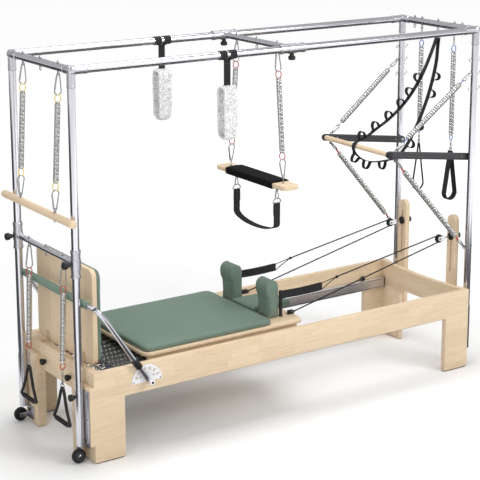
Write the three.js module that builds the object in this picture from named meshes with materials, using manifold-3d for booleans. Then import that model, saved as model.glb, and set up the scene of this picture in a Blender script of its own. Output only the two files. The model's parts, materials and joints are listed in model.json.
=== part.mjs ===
// Trapeze table on a reformer bed: a wooden sprung-carriage bed under a tube frame.
// Units are millimetres. +X runs from the foot end to the pulley end, +Z is up,
// and the near side of the bed is at negative Y. Z = 0 is the floor.

import * as THREE from 'three';
import { mergeVertices } from 'three/addons/utils/BufferGeometryUtils.js';
import Module from 'manifold-3d';

const wasm = await Module();
wasm.setup();

// Bed frame
const bed_length = 2400;
const bed_width = 756;
const rail_thickness = 30;
const rail_top = 461;
const rail_bottom = 317;
const leg_width = 166;
const leg_pad_height = 6;
const leg_pad_inset = 8;
const end_plank_thickness = 24;
const end_plank_top = 393;
const end_plank_reach = 188;
const caster_notch_height = 94;
const caster_notch_width = 108;
const fit_gap = 0.3;

// Cross panels and pulley risers
const panel_thickness = 30;
const panel_bottom = 318;
const head_panel_dip = 16;
const riser_width = 66;
const riser_thickness = 28;
const riser_top = 860;
const riser_bottom = 230;
const riser_offset = 215;
const riser_slot_width = 12;
const riser_slot_length = 260;
const riser_slot_margin = 70;
const panel_knob_radius = 13;
const panel_knob_length = 25;
const panel_knob_spacing = 270;
const panel_knob_height = 372;

// Tracks for the carriage wheels
const track_depth = 28;
const track_height = 62;
const track_bottom = 300;
const track_end_gap = 8;

// Tube frame
const post_spacing_x = 2492;
const post_spacing_y = 620;
const tube_radius = 19;
const tube_wall = 2.5;
const top_rail_height = 1921;
const socket_radius = 21.7;
const socket_bottom = 87;
const foot_socket_top = 374;
const head_socket_top = 345;
const socket_flange_thickness = 5;
const socket_flange_width = 62;
const head_bracket_width = 30;
const corner_reach = 80;
const corner_stub = 60;

// Casters at the foot end
const caster_radius = 35.5;
const caster_width = 22;
const caster_floor_gap = 4.5;
const caster_offset_x = 38;
const caster_offset_y = 320;
const caster_axle_radius = 5;
const caster_bore_gap = 0.6;
const caster_plate_width = 60;
const caster_plate_height = 70;
const caster_arm_thickness = 6;
const caster_arm_height = 26;

// Eyebolts and wire links
const eye_radius = 9;
const eye_wire = 2.1;
const eye_drop = 12;
const link_radius = 8;
const link_wire = 2;
const link_gap = 1;

// Springs of the tube frame
const coil_radius = 13;
const coil_wire = 2;
const coil_turns = 4;
const coil_end_run = 10;
const coil_lead = 14;

// Roll-down bar at the foot end
const rolldown_eye_offset = 185;
const rolldown_length = 650;
const rolldown_body_start = 133;
const rolldown_body_end = 521;
const rolldown_bar_radius = 16;
const rolldown_bar_length = 750;
const rolldown_lean_share = 0.057;

// Crossbar that slides on the foot posts, with the handle springs
const slider_height = 1001;
const slider_sleeve_length = 134;
const sleeve_wall = 3;
const sleeve_play = 0.95;
const slider_tube_radius = 14;
const slider_knob_radius = 15;
const slider_knob_length = 25;
const slider_knob_reach = 68;
const slider_pin_radius = 5;
const handle_eye_offset = 183;
const handle_length = 606;
const handle_body_start = 151;
const handle_body_end = 508;
const handle_lean_share = 0.038;
const handle_width = 176;
const handle_rise = 186;
const handle_bar_radius = 9;
const handle_leg_radius = 6;

// Trapeze on the crossbar that slides on the top rails
const trapeze_sleeve_length = 150;
const trapeze_tube_radius = 16;
const trapeze_knob_radius = 15;
const trapeze_knob_drop = 55;
const trapeze_eye_offset = 185;
const trapeze_seat_eye_offset = 243;
const trapeze_length = 647;
const trapeze_body_start = 136;
const trapeze_body_end = 527;
const seat_length = 640;
const seat_width = 100;
const seat_thickness = 24;
const seat_drop = 34;
const cover_length = 430;
const cover_margin_x = 6;
const cover_margin_z = 8;
const sling_eye_inset = 27;
const sling_link_length = 76;
const sling_strap_width = 40;
const sling_strap_thickness = 4;
const sling_straight = 112;
const sling_sag = 47;
const sling_bar_radius = 3;

// Push-through bar at the head end
const push_pivot_height = 1207;
const push_arm_length = 580;
const push_arm_height = 40;
const push_arm_thickness = 8;
const push_arm_post_gap = 2;
const push_rise_share = 0.136;
const dowel_radius = 14;
const dowel_cap_radius = 16;
const dowel_cap_length = 11;
const push_boss_radius = 12;
const push_eye_inset = 44;
const push_eye_rise = 27;
const push_hook_bottom = 690;
const push_hook_reach = 13;
const post_eye_drops = [161, 238, 321];
const push_top_body_start = 82;
const push_top_body_tail = 90;
const push_low_body_start = 92;
const push_low_body_tail = 98;

// Leg springs and foot straps at the head end
const leg_eye_offset = 137;
const leg_eye_outer_offset = 200;
const leg_length = 668;
const leg_body_start = 108;
const leg_body_end = 588;
const strap_drop = 292;
const strap_half_width = 42;
const strap_thickness = 4;
const near_strap_width = 36;
const far_strap_width = 12;

// Looped strap that drapes over the push-through bar
const ladder_width = 26;
const ladder_thickness = 4;
const ladder_loop_radius = 23;
const ladder_loop_thickness = 3;
const ladder_hook_link = 38;
const ladder_knuckle_radius = 7;

// Fleece loops on the top rails
const fleece_place = -390;
const fleece_wrap_width = 40;
const fleece_wrap_spacing = 56;
const fleece_strap_width = 38;
const fleece_strap_thickness = 4;
const fleece_top_drop = 149;
const fleece_length = 274;
const fleece_depth = 80;
const fleece_width = 80;
const fleece_thickness = 13;
const fleece_bend = 34;

// Carriage
const carriage_foot_end = -885;
const carriage_head_end = 85;
const carriage_half_width = 322;
const carriage_board_bottom = 464;
const carriage_board_thickness = 18;
const carriage_corner = 40;
const pad_head_end = -100;
const pad_inset = 4;
const pad_thickness = 32;
const pad_crown = 3;
const pad_edge_round = 7;
const pad_overlap = 0.03;
const chassis_offset = 290;
const chassis_width = 20;
const chassis_bottom = 372;
const chassis_inset = 30;
const wheel_radius = 22;
const wheel_width = 18;
const wheel_offset = 333;
const axle_radius = 6;
const axle_gap = 1;
const foot_axle_place = -800;
const head_axle_place = 10;
const headrest_foot_end = -96;
const headrest_head_end = 160;
const headrest_half_width = 106;
const headrest_board = 9;
const rest_inner = 120;
const rest_outer = 222;
const rest_back = -8;
const rest_thickness = 66;
const rest_height = 206;
const rest_lobe_radius = 38;
const rest_lobe_overhang = 14;
const rest_fillet_reach = 57;
const loop_post_place = 8;
const loop_post_radius = 6;
const loop_post_height = 142;
const cleat_place = 75;
const cleat_length = 50;
const cleat_width = 18;
const cleat_height = 22;
const cleat_rope_gap = 5.4;

// Ropes, hand loops and pulleys
const rope_radius = 3.5;
const rope_offset = 215;
const loop_band_end = 280;
const loop_band_height = 38;
const loop_band_middle = 600;
const loop_band_radius = 10;
const loop_band_thickness = 3;
const loop_knot_place = 381;
const loop_knot_height = 635;
const loop_cord_radius = 2.5;
const loop_knot_radius = 8;
const rope_pulley_gap = 1;
const pulley_stand_off = 92;
const pulley_height = 735;
const pulley_radius = 24;
const pulley_root = 15;
const pulley_width = 14;
const pulley_bore = 4.6;
const pulley_pin_radius = 4;
const pulley_plate_thickness = 3;
const pulley_plate_half_height = 13;
const pulley_plate_gap = 2;
const pulley_plate_front = 12;
const pulley_yoke_start = 28;
const pulley_yoke_end = 40;
const pulley_stem_radius = 4.5;
const pulley_knob_radius = 17;
const pulley_knob_length = 20;
const pulley_collar_length = 12;

// Carriage springs and the bar that they hook on
const spring_bar_place = -1075;
const spring_bar_radius = 9;
const spring_bar_height = 412;
const bed_spring_radius = 10;
const bed_spring_count = 5;
const bed_spring_spacing = 108;
const bed_spring_end = -420;

// Footbar
const footbar_pivot_place = -905;
const footbar_pivot_height = 372;
const footbar_arm_offset = 398;
const footbar_tube_radius = 13;
const footbar_bar_place = -1203;
const footbar_bar_height = 793;
const footbar_grip_radius = 19;
const footbar_grip_length = 670;
const footbar_boss_radius = 12;
const footbar_boss_end = 430;
const footbar_plate_thickness = 4;
const footbar_plate_radius = 86;
const footbar_plate_place = -910;
const footbar_plate_bottom = 366;

// Jump board
const jump_back = -1155;
const jump_board_thickness = 25;
const jump_pad_thickness = 27;
const jump_half_width = 296;
const jump_bottom = 465;
const jump_top = 945;
const jump_corner = 38;
const jump_hook_offset = 190;
const jump_hook_width = 40;
const jump_hook_thickness = 4;
const jump_hook_drop = 50;

// Counts of faces
const tube_sides = 12;
const rod_sides = 8;
const corner_sides = 10;
const wire_sides = 4;
const ring_steps = 8;
const link_steps = 6;
const coil_steps = 8;
const coil_sides = 5;
const thin_sides = 6;
const rope_sides = 5;
const rope_arc_steps = 10;
const bend_steps = 3;
const loop_steps = 4;
const profile_steps = 8;
const footbar_steps = 18;
const pad_crown_shares = [0.75, 0.35];

// Derived places
const half_length = bed_length / 2;
const pulley_place = half_length - pulley_stand_off;
const half_width = bed_width / 2;
const rail_inner = half_width - rail_thickness;
const post_x = post_spacing_x / 2;
const post_y = post_spacing_y / 2;
const board_top = carriage_board_bottom + carriage_board_thickness;
const pad_bottom = board_top + fit_gap;
const track_inner = rail_inner - track_depth;
const track_top = track_bottom + track_height;
const axle_height = track_top + fit_gap + wheel_radius;
const sleeve_bore = tube_radius + sleeve_play;
const sleeve_radius = sleeve_bore + sleeve_wall;
const crossbar_eye_z = top_rail_height - tube_radius - eye_drop;
const slider_eye_z = slider_height - slider_tube_radius - eye_radius;
const sides = { near: -1, far: 1 };

// Materials
const finish = (color, roughness, metalness) =>
  new THREE.MeshStandardMaterial({ color, roughness, metalness });
const wood = finish(0xe3c9a6, 0.55, 0);
const dowel_wood = finish(0xe0bf97, 0.55, 0);
const polished = finish(0xc9c9d2, 0.25, 0.9);
const sprung_steel = finish(0xa9a8a6, 0.35, 0.9);
const vinyl = finish(0x6c7d70, 0.6, 0);
const black_plastic = finish(0x232325, 0.5, 0);
const webbing = finish(0x2f2f31, 0.85, 0);
const rope_cover = finish(0x3a3a3c, 0.9, 0);
const white_plate = finish(0xf2f3f6, 0.4, 0);
const fleece = finish(0xf4f4f4, 1, 0);
const rubber = finish(0x1b1b1d, 0.8, 0);

const part = new THREE.Group();

function add(name, geometry, material, parent = part) {
  const mesh = new THREE.Mesh(geometry, material);
  mesh.name = name;
  parent.add(mesh);
  return mesh;
}

// Solids: a geometry becomes a closed solid, and a solid a geometry
function toSolid(geometry) {
  const bare = new THREE.BufferGeometry();
  bare.setAttribute('position', geometry.getAttribute('position').clone());
  if (geometry.index) bare.setIndex(geometry.index.clone());
  const merged = mergeVertices(bare);
  return new wasm.Manifold(new wasm.Mesh({
    numProp: 3,
    vertProperties: new Float32Array(merged.getAttribute('position').array),
    triVerts: new Uint32Array(merged.index.array),
  }));
}

function toGeometry(solid) {
  const mesh = solid.getMesh();
  const geometry = new THREE.BufferGeometry();
  geometry.setAttribute('position', new THREE.BufferAttribute(new Float32Array(mesh.vertProperties), 3));
  geometry.setIndex(new THREE.BufferAttribute(new Uint32Array(mesh.triVerts), 1));
  return geometry;
}

function fuse(...geometries) {
  const solids = geometries.flat().map(toSolid);
  return toGeometry(solids.reduce((whole, solid) => whole.add(solid)));
}

function cut(geometry, ...tools) {
  const solids = tools.flat().map(toSolid);
  return toGeometry(solids.reduce((whole, solid) => whole.subtract(solid), toSolid(geometry)));
}

// Basic shapes
function block(x0, x1, y0, y1, z0, z1) {
  const shape = new THREE.BoxGeometry(Math.abs(x1 - x0), Math.abs(y1 - y0), Math.abs(z1 - z0));
  return shape.translate((x0 + x1) / 2, (y0 + y1) / 2, (z0 + z1) / 2);
}

function rod(from, to, radius, count = rod_sides) {
  const start = new THREE.Vector3(...from);
  const run = new THREE.Vector3(...to).sub(start);
  const shape = new THREE.CylinderGeometry(radius, radius, run.length(), count);
  const up = new THREE.Vector3(0, 1, 0);
  shape.applyQuaternion(new THREE.Quaternion().setFromUnitVectors(up, run.clone().normalize()));
  return shape.translate(...start.addScaledVector(run, 1 / 2).toArray());
}

function rodX(x0, x1, y, z, radius, count = rod_sides) {
  return rod([x0, y, z], [x1, y, z], radius, count);
}

function rodY(y0, y1, x, z, radius, count = rod_sides) {
  return rod([x, y0, z], [x, y1, z], radius, count);
}

function rodZ(z0, z1, x, y, radius, count = rod_sides) {
  return rod([x, y, z0], [x, y, z1], radius, count);
}

function ball(x, y, z, radius) {
  return new THREE.SphereGeometry(radius, wire_sides + 2, wire_sides).translate(x, y, z);
}

function pipe(rodShape, length, from, to, outer, inner) {
  const spare = length / 10;
  const run = new THREE.Vector3(...to).sub(new THREE.Vector3(...from));
  const direction = run.normalize().multiplyScalar(spare);
  const first = new THREE.Vector3(...from).sub(direction).toArray();
  const last = new THREE.Vector3(...to).add(direction).toArray();
  return cut(rodShape(from, to, outer, tube_sides), rodShape(first, last, inner, tube_sides));
}

function tube(from, to, outer, inner) {
  return pipe(rod, new THREE.Vector3(...from).distanceTo(new THREE.Vector3(...to)), from, to, outer, inner);
}

// An outline in X and Z, extruded along Y, and its two turned forms
function extrudeY(shape, y0, y1, curve = 6) {
  const options = { depth: Math.abs(y1 - y0), bevelEnabled: false, curveSegments: curve };
  const solid = new THREE.ExtrudeGeometry(shape, options);
  return solid.rotateX(Math.PI / 2).translate(0, Math.max(y0, y1), 0);
}

function extrudeX(shape, x0, x1, curve = 6) {
  const options = { depth: Math.abs(x1 - x0), bevelEnabled: false, curveSegments: curve };
  const turn = new THREE.Matrix4().makeBasis(
    new THREE.Vector3(0, 1, 0), new THREE.Vector3(0, 0, 1), new THREE.Vector3(1, 0, 0));
  return new THREE.ExtrudeGeometry(shape, options).applyMatrix4(turn).translate(Math.min(x0, x1), 0, 0);
}

function extrudeZ(shape, z0, z1, curve = 6) {
  const options = { depth: Math.abs(z1 - z0), bevelEnabled: false, curveSegments: curve };
  return new THREE.ExtrudeGeometry(shape, options).translate(0, 0, Math.min(z0, z1));
}

function outline(points) {
  return new THREE.Shape(points.map(([u, v]) => new THREE.Vector2(u, v)));
}

function roundedBox(u0, u1, v0, v1, radius) {
  const shape = new THREE.Shape();
  shape.moveTo(u0 + radius, v0);
  shape.lineTo(u1 - radius, v0);
  shape.absarc(u1 - radius, v0 + radius, radius, -Math.PI / 2, 0);
  shape.lineTo(u1, v1 - radius);
  shape.absarc(u1 - radius, v1 - radius, radius, 0, Math.PI / 2);
  shape.lineTo(u0 + radius, v1);
  shape.absarc(u0 + radius, v1 - radius, radius, Math.PI / 2, Math.PI);
  shape.lineTo(u0, v0 + radius);
  shape.absarc(u0 + radius, v0 + radius, radius, Math.PI, 1.5 * Math.PI);
  return shape;
}

// A racetrack outline between two centres on the first axis
function racetrack(u0, u1, v, radius) {
  const shape = new THREE.Shape();
  shape.absarc(u1, v, radius, -Math.PI / 2, Math.PI / 2);
  shape.absarc(u0, v, radius, Math.PI / 2, 1.5 * Math.PI);
  return shape;
}

// A tube of constant section along a smooth curve through points
function cordAlong(points, radius, count, steps) {
  const curve = new THREE.CatmullRomCurve3(points.map((p) => new THREE.Vector3(...p)), false,
    'centripetal');
  const corner = (k) => {
    const angle = (2 * Math.PI * k) / count;
    return new THREE.Vector2(radius * Math.cos(angle), radius * Math.sin(angle));
  };
  const section = new THREE.Shape(Array.from({ length: count }, (_, k) => corner(k)));
  return new THREE.ExtrudeGeometry(section, { steps, bevelEnabled: false, extrudePath: curve });
}

// A long ring of wire in X and Z: its round ends centre on x, and z runs from low to high
function link(low, high, radius, wire, steps = link_steps, around = wire_sides) {
  const ring = new THREE.TorusGeometry(radius, wire, around, steps).rotateZ(Math.PI / 2);
  const stretch = (high - low) / 2 - radius;
  const position = ring.getAttribute('position');
  for (let k = 0; k < position.count; k += 1) {
    position.setY(k, position.getY(k) + Math.sign(Math.round(position.getY(k))) * stretch);
  }
  return ring.rotateX(Math.PI / 2).translate(0, 0, (low + high) / 2);
}

// An eyebolt ring: its plane holds Z and the named side axis
function eyeRing(x, y, z, across) {
  const ring = new THREE.TorusGeometry(eye_radius, eye_wire, wire_sides, ring_steps);
  if (across === 'y') ring.rotateY(Math.PI / 2);
  else ring.rotateX(Math.PI / 2);
  return ring.translate(x, y, z);
}

// An eyebolt that hangs under a crossbar
function hangingEye(x, y, bar_height, bar_radius, drop) {
  const centre = bar_height - bar_radius - drop;
  return [
    eyeRing(x, y, centre, 'y'),
    rodZ(centre + eye_radius, bar_height, x, y, eye_wire, wire_sides),
  ];
}

// One spring between two eyes, made along -Z from the first: a link, the coil, a link
const gaps = [];
function coilPath(start, end) {
  const points = [];
  const low = start + coil_end_run + coil_lead;
  const high = end - coil_end_run - coil_lead;
  const total = coil_turns * coil_steps;
  points.push([0, 0, -start], [0, 0, -(start + coil_end_run)]);
  for (let k = 0; k <= total; k += 1) {
    const angle = (2 * Math.PI * k) / coil_steps;
    const depth = low + ((high - low) * k) / total;
    points.push([coil_radius * Math.cos(angle), coil_radius * Math.sin(angle), -depth]);
  }
  points.push([0, 0, -(end - coil_end_run)], [0, 0, -end]);
  return points.map((p) => new THREE.Vector3(...p));
}

function measureGap(points) {
  let least = Infinity;
  for (let i = 0; i < points.length; i += 1) {
    for (let j = i + coil_steps - 1; j < points.length; j += 1) {
      least = Math.min(least, points[i].distanceTo(points[j]) - 2 * coil_wire);
    }
  }
  return least;
}

function wireSolid(points, radius, count) {
  const vertices = [];
  const index = [];
  const direction = (k) => {
    const before = points[Math.max(k - 1, 0)];
    const after = points[Math.min(k + 1, points.length - 1)];
    return after.clone().sub(before).normalize();
  };
  let normal = new THREE.Vector3(1, 0, 0);
  points.forEach((point, k) => {
    const along = direction(k);
    normal = normal.addScaledVector(along, -normal.dot(along)).normalize();
    const side = along.clone().cross(normal);
    for (let s = 0; s < count; s += 1) {
      const angle = (2 * Math.PI * s) / count;
      const out = normal.clone().multiplyScalar(radius * Math.cos(angle));
      vertices.push(...point.clone().add(out).addScaledVector(side, radius * Math.sin(angle)).toArray());
    }
  });
  for (let k = 0; k + 1 < points.length; k += 1) {
    for (let s = 0; s < count; s += 1) {
      const a = k * count + s;
      const b = k * count + ((s + 1) % count);
      index.push(a, b, a + count, b, b + count, a + count);
    }
  }
  const last = (points.length - 1) * count;
  for (let s = 1; s + 1 < count; s += 1) {
    index.push(0, s + 1, s, last, last + s, last + s + 1);
  }
  const geometry = new THREE.BufferGeometry();
  geometry.setAttribute('position', new THREE.Float32BufferAttribute(vertices, 3));
  geometry.setIndex(index);
  return geometry;
}

function springSolid(length, body_start, body_end) {
  const inset = eye_radius - eye_wire - link_wire - link_gap;
  const path = coilPath(body_start, body_end);
  gaps.push(measureGap(path));
  return fuse(
    link(-body_start, -inset, link_radius, link_wire),
    wireSolid(path, coil_wire, coil_sides),
    link(-(length - inset), -body_end, link_radius, link_wire));
}

// Hangs a spring from one eye centre to another; its links stand across the eyes
function placeSpring(name, from, to, across, body_start, body_end, parent) {
  const start = new THREE.Vector3(...from);
  const end = new THREE.Vector3(...to);
  const up = start.clone().sub(end).normalize();
  const side = new THREE.Vector3(...across);
  side.addScaledVector(up, -side.dot(up)).normalize();
  const turn = new THREE.Matrix4().makeBasis(side, up.clone().cross(side), up);
  const length = start.distanceTo(end);
  const mesh = add(name, springSolid(length, body_start, body_end), sprung_steel, parent);
  mesh.quaternion.setFromRotationMatrix(turn);
  mesh.position.copy(start);
}

// A padded block: a flat base, rounded upper edges and a crowned top
function cushion(u0, u1, v0, v1, low, high, corner, crown) {
  const vertices = [];
  const index = [];
  const levels = [
    { inset: pad_edge_round / 2, height: low, swell: 0 },
    { inset: 0, height: low + (high - low) / 2, swell: 0 },
    { inset: pad_edge_round / 3, height: high - pad_edge_round / 2, swell: 0 },
  ];
  const ringPoints = (inset) => {
    const points = [];
    const shape = roundedBox(u0 + inset, u1 - inset, v0 + inset, v1 - inset, corner);
    shape.getPoints(2).forEach((p) => points.push(p));
    const first = points[0];
    const lastPoint = points[points.length - 1];
    if (first.distanceTo(lastPoint) < fit_gap) points.pop();
    return points;
  };
  const rings = levels.map((level) => ringPoints(level.inset).map((p) => [p.x, p.y, level.height]));
  const middle_u = (u0 + u1) / 2;
  const middle_v = (v0 + v1) / 2;
  const topRings = pad_crown_shares.map((share) =>
    ringPoints(pad_edge_round).map((p) => [
      middle_u + (p.x - middle_u) * share,
      middle_v + (p.y - middle_v) * share,
      high + crown * (1 - share * share),
    ]));
  rings.push(ringPoints(pad_edge_round).map((p) => [p.x, p.y, high]), ...topRings);
  const count = rings[0].length;
  rings.forEach((ring) => ring.forEach((p) => vertices.push(...p)));
  const base = vertices.length / 3;
  vertices.push(middle_u, middle_v, low, middle_u, middle_v, high + crown);
  for (let k = 0; k < count; k += 1) {
    const next = (k + 1) % count;
    index.push(base, next, k);
    const last = (rings.length - 1) * count;
    index.push(base + 1, last + k, last + next);
    for (let ring = 0; ring + 1 < rings.length; ring += 1) {
      const a = ring * count + k;
      const b = ring * count + next;
      index.push(a, b, a + count, b, b + count, a + count);
    }
  }
  const geometry = new THREE.BufferGeometry();
  geometry.setAttribute('position', new THREE.Float32BufferAttribute(vertices, 3));
  geometry.setIndex(index);
  return geometry;
}

// The same padded block standing up, facing +X
function standUp(geometry) {
  const turn = new THREE.Matrix4().makeBasis(
    new THREE.Vector3(0, 1, 0), new THREE.Vector3(0, 0, 1), new THREE.Vector3(1, 0, 0));
  return geometry.applyMatrix4(turn);
}

// Side frames: a rail with two legs, their end planks and rubber feet
for (const [side, sign] of Object.entries(sides)) {
  const outer = sign * half_width;
  const inner = sign * rail_inner;
  const body = extrudeY(outline([
    [-half_length, leg_pad_height],
    [-half_length + leg_width, leg_pad_height],
    [-half_length + leg_width, rail_bottom],
    [half_length - leg_width, rail_bottom],
    [half_length - leg_width, leg_pad_height],
    [half_length, leg_pad_height],
    [half_length, rail_top],
    [-half_length, rail_top],
  ]), outer, inner);
  const plank_end = sign * (half_width - end_plank_reach);
  const notch = sign * (half_width - caster_notch_width);
  const foot_face = -half_length - end_plank_thickness;
  const head_face = half_length - fit_gap;
  const pad_x0 = half_length - leg_pad_inset;
  const pad_x1 = half_length - leg_width + leg_pad_inset;
  const pad_y0 = outer - sign * leg_pad_inset / 2;
  const pad_y1 = inner + sign * leg_pad_inset / 2;
  add(`${side}_side_frame`, fuse(
    body,
    block(foot_face, -half_length, notch, outer, caster_notch_height, end_plank_top),
    block(foot_face, -half_length, notch, plank_end, leg_pad_height, end_plank_top),
    block(-half_length, -half_length + end_plank_thickness, plank_end, inner, leg_pad_height,
      panel_bottom - fit_gap),
    block(head_face - end_plank_thickness, head_face, plank_end, inner, leg_pad_height,
      panel_bottom - fit_gap),
    block(-pad_x0, -pad_x1, pad_y0, pad_y1, 0, leg_pad_height),
    block(pad_x1, pad_x0, pad_y0, pad_y1, 0, leg_pad_height)), wood);
}

// Foot end panel, with the two knobs that lock the spring bar
const panel_half = rail_inner - fit_gap;
const foot_panel_face = -half_length + fit_gap;
const panelKnobs = [-1, 1].map((sign) => rodX(
  foot_panel_face - panel_knob_length, foot_panel_face + panel_thickness / 2,
  sign * panel_knob_spacing / 2, panel_knob_height, panel_knob_radius));
add('foot_end_panel', fuse(
  block(foot_panel_face, -half_length + panel_thickness, -panel_half, panel_half, panel_bottom, rail_top),
  panelKnobs), wood);

// Head end panel with its dipped top edge, and the two slotted pulley risers
const panel_dip = new THREE.Shape();
panel_dip.moveTo(-panel_half, panel_bottom);
panel_dip.lineTo(panel_half, panel_bottom);
panel_dip.lineTo(panel_half, rail_top);
panel_dip.quadraticCurveTo(0, rail_top - 2 * head_panel_dip, -panel_half, rail_top);
const risers = [-1, 1].map((sign) => {
  const centre = sign * riser_offset;
  const radius = riser_width / 2;
  const shape = new THREE.Shape();
  shape.moveTo(centre - radius, riser_bottom);
  shape.lineTo(centre + radius, riser_bottom);
  shape.absarc(centre, riser_top - radius, radius, 0, Math.PI);
  const slot_high = riser_top - riser_slot_margin;
  const slot = new THREE.Path();
  slot.absarc(centre, slot_high, riser_slot_width / 2, 0, Math.PI);
  slot.absarc(centre, slot_high - riser_slot_length, riser_slot_width / 2, Math.PI, 2 * Math.PI);
  shape.holes.push(slot);
  return extrudeX(shape, half_length, half_length + riser_thickness, loop_steps);
});
add('head_end_panel', fuse(
  extrudeX(panel_dip, half_length - panel_thickness, half_length), risers), wood);

// Tracks on the inner faces of the rails
for (const [side, sign] of Object.entries(sides)) {
  const end = half_length - panel_thickness - track_end_gap;
  add(`${side}_track`, block(-end, end, sign * track_inner, sign * (rail_inner - fit_gap),
    track_bottom, track_top), polished);
}

// Posts with the sockets that hold them, and at the foot end the caster brackets
const post_top = top_rail_height - corner_reach - fit_gap;
function postTube(x, y) {
  return tube([x, y, socket_bottom], [x, y, post_top], tube_radius, tube_radius - tube_wall);
}

function postSocket(x, y, top) {
  const sleeve = tube([x, y, socket_bottom], [x, y, top], socket_radius, tube_radius - tube_wall);
  return sleeve;
}

const caster_x = -half_length - end_plank_thickness - caster_offset_x;
const caster_z = caster_radius + caster_floor_gap;
const plank_face = -half_length - end_plank_thickness - fit_gap;
for (const [side, sign] of Object.entries(sides)) {
  const y = sign * post_y;
  const flange_face = plank_face - socket_flange_thickness;
  const arm_y = sign * (caster_offset_y - caster_width / 2 - 2 * caster_arm_thickness);
  const plate_y = arm_y - sign * caster_plate_width;
  add(`foot_post_${side}`, fuse(
    postTube(-post_x, y),
    postSocket(-post_x, y, foot_socket_top),
    block(flange_face, plank_face, y + sign * tube_radius, y + sign * socket_flange_width, socket_bottom,
      foot_socket_top),
    block(flange_face, plank_face, y + sign * tube_radius, plate_y, socket_bottom,
      socket_bottom + socket_flange_thickness),
    block(flange_face, plank_face, arm_y, plate_y, caster_arm_height,
      caster_arm_height + caster_plate_height),
    block(caster_x - caster_arm_height / 2, plank_face, arm_y, arm_y + sign * caster_arm_thickness,
      caster_z - caster_arm_height / 2, caster_z + caster_arm_height / 2),
    rodY(arm_y, sign * (caster_offset_y + caster_width / 2), caster_x, caster_z, caster_axle_radius)),
      polished);
  const wheel = cut(
    rodY(sign * (caster_offset_y - caster_width / 2), sign * (caster_offset_y + caster_width / 2),
      caster_x, caster_z, caster_radius, 2 * rod_sides),
    rodY(sign * (caster_offset_y - caster_width), sign * (caster_offset_y + caster_width),
      caster_x, caster_z, caster_axle_radius + caster_bore_gap));
  add(`caster_wheel_${side}`, wheel, rubber);

  const bracket = half_length + fit_gap;
  const postEye = (way, z) => [
    eyeRing(post_x + way * (tube_radius + push_hook_reach), y, z, 'x'),
    rodX(post_x + way * (tube_radius + push_hook_reach - eye_radius),
      post_x + way * (tube_radius - tube_wall), y, z,
      eye_wire, wire_sides),
  ];
  add(`head_post_${side}`, fuse(
    postTube(post_x, y),
    postSocket(post_x, y, head_socket_top),
    cut(block(bracket, post_x, y - head_bracket_width / 2, y + head_bracket_width / 2, socket_bottom,
      head_socket_top),
      rodZ(0, top_rail_height, post_x, y, tube_radius, tube_sides)),
    block(bracket, bracket + socket_flange_thickness,
      y - sign * socket_flange_width + sign * socket_flange_thickness,
      y + sign * socket_flange_width, socket_bottom, head_socket_top),
    post_eye_drops.flatMap((drop) => postEye(-1, top_rail_height - drop)),
    postEye(1, top_rail_height - post_eye_drops[0]),
    postEye(-1, push_hook_bottom)), polished);
}

// Top rails
for (const [side, sign] of Object.entries(sides)) {
  const end = post_x - corner_reach - fit_gap;
  const y = sign * post_y;
  add(`top_rail_${side}`, tube([-end, y, top_rail_height], [end, y, top_rail_height],
    tube_radius, tube_radius - tube_wall), polished);
}

// Top crossbars: each holds two three-way corner fittings and its eyebolts
function topCrossbar(x, eye_places) {
  const inward = -Math.sign(x);
  const corners = [-1, 1].flatMap((sign) => [
    rodZ(top_rail_height - corner_reach, top_rail_height + socket_radius, x, sign * post_y, socket_radius,
      corner_sides),
    rodX(x, x + inward * corner_reach, sign * post_y, top_rail_height, socket_radius, corner_sides),
    rodY(sign * post_y, sign * (post_y - corner_stub), x, top_rail_height, socket_radius, corner_sides),
  ]);
  const eyes = eye_places.flatMap((y) => hangingEye(x, y, top_rail_height, tube_radius, eye_drop));
  return fuse(rodY(-post_y, post_y, x, top_rail_height, tube_radius, corner_sides), corners, eyes);
}
add('foot_top_crossbar', topCrossbar(-post_x, [-rolldown_eye_offset, 0, rolldown_eye_offset]), polished);
add('head_top_crossbar', topCrossbar(post_x,
  [-leg_eye_outer_offset, -leg_eye_offset, 0, leg_eye_offset, leg_eye_outer_offset]), polished);

// Roll-down bar on two springs; it leans outwards and rests against the posts
const rolldown = new THREE.Group();
rolldown.position.set(-post_x, 0, crossbar_eye_z);
rolldown.rotation.y = Math.atan(rolldown_lean_share);
part.add(rolldown);
for (const [side, sign] of Object.entries(sides)) {
  const y = sign * rolldown_eye_offset;
  placeSpring(`rolldown_spring_${side}`, [0, y, 0], [0, y, -rolldown_length], [1, 0, 0],
    rolldown_body_start, rolldown_body_end, rolldown);
}
const rolldown_bar_z = -rolldown_length - eye_drop - rolldown_bar_radius;
const rolldownEyes = [-1, 1].flatMap((sign) => [
  eyeRing(0, sign * rolldown_eye_offset, -rolldown_length, 'y'),
  rodZ(-rolldown_length - eye_radius, rolldown_bar_z, 0, sign * rolldown_eye_offset, eye_wire),
]);
add('rolldown_bar', fuse(
  rodY(-rolldown_bar_length / 2, rolldown_bar_length / 2, 0, rolldown_bar_z, rolldown_bar_radius,
    corner_sides),
  rolldownEyes), dowel_wood, rolldown);

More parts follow.
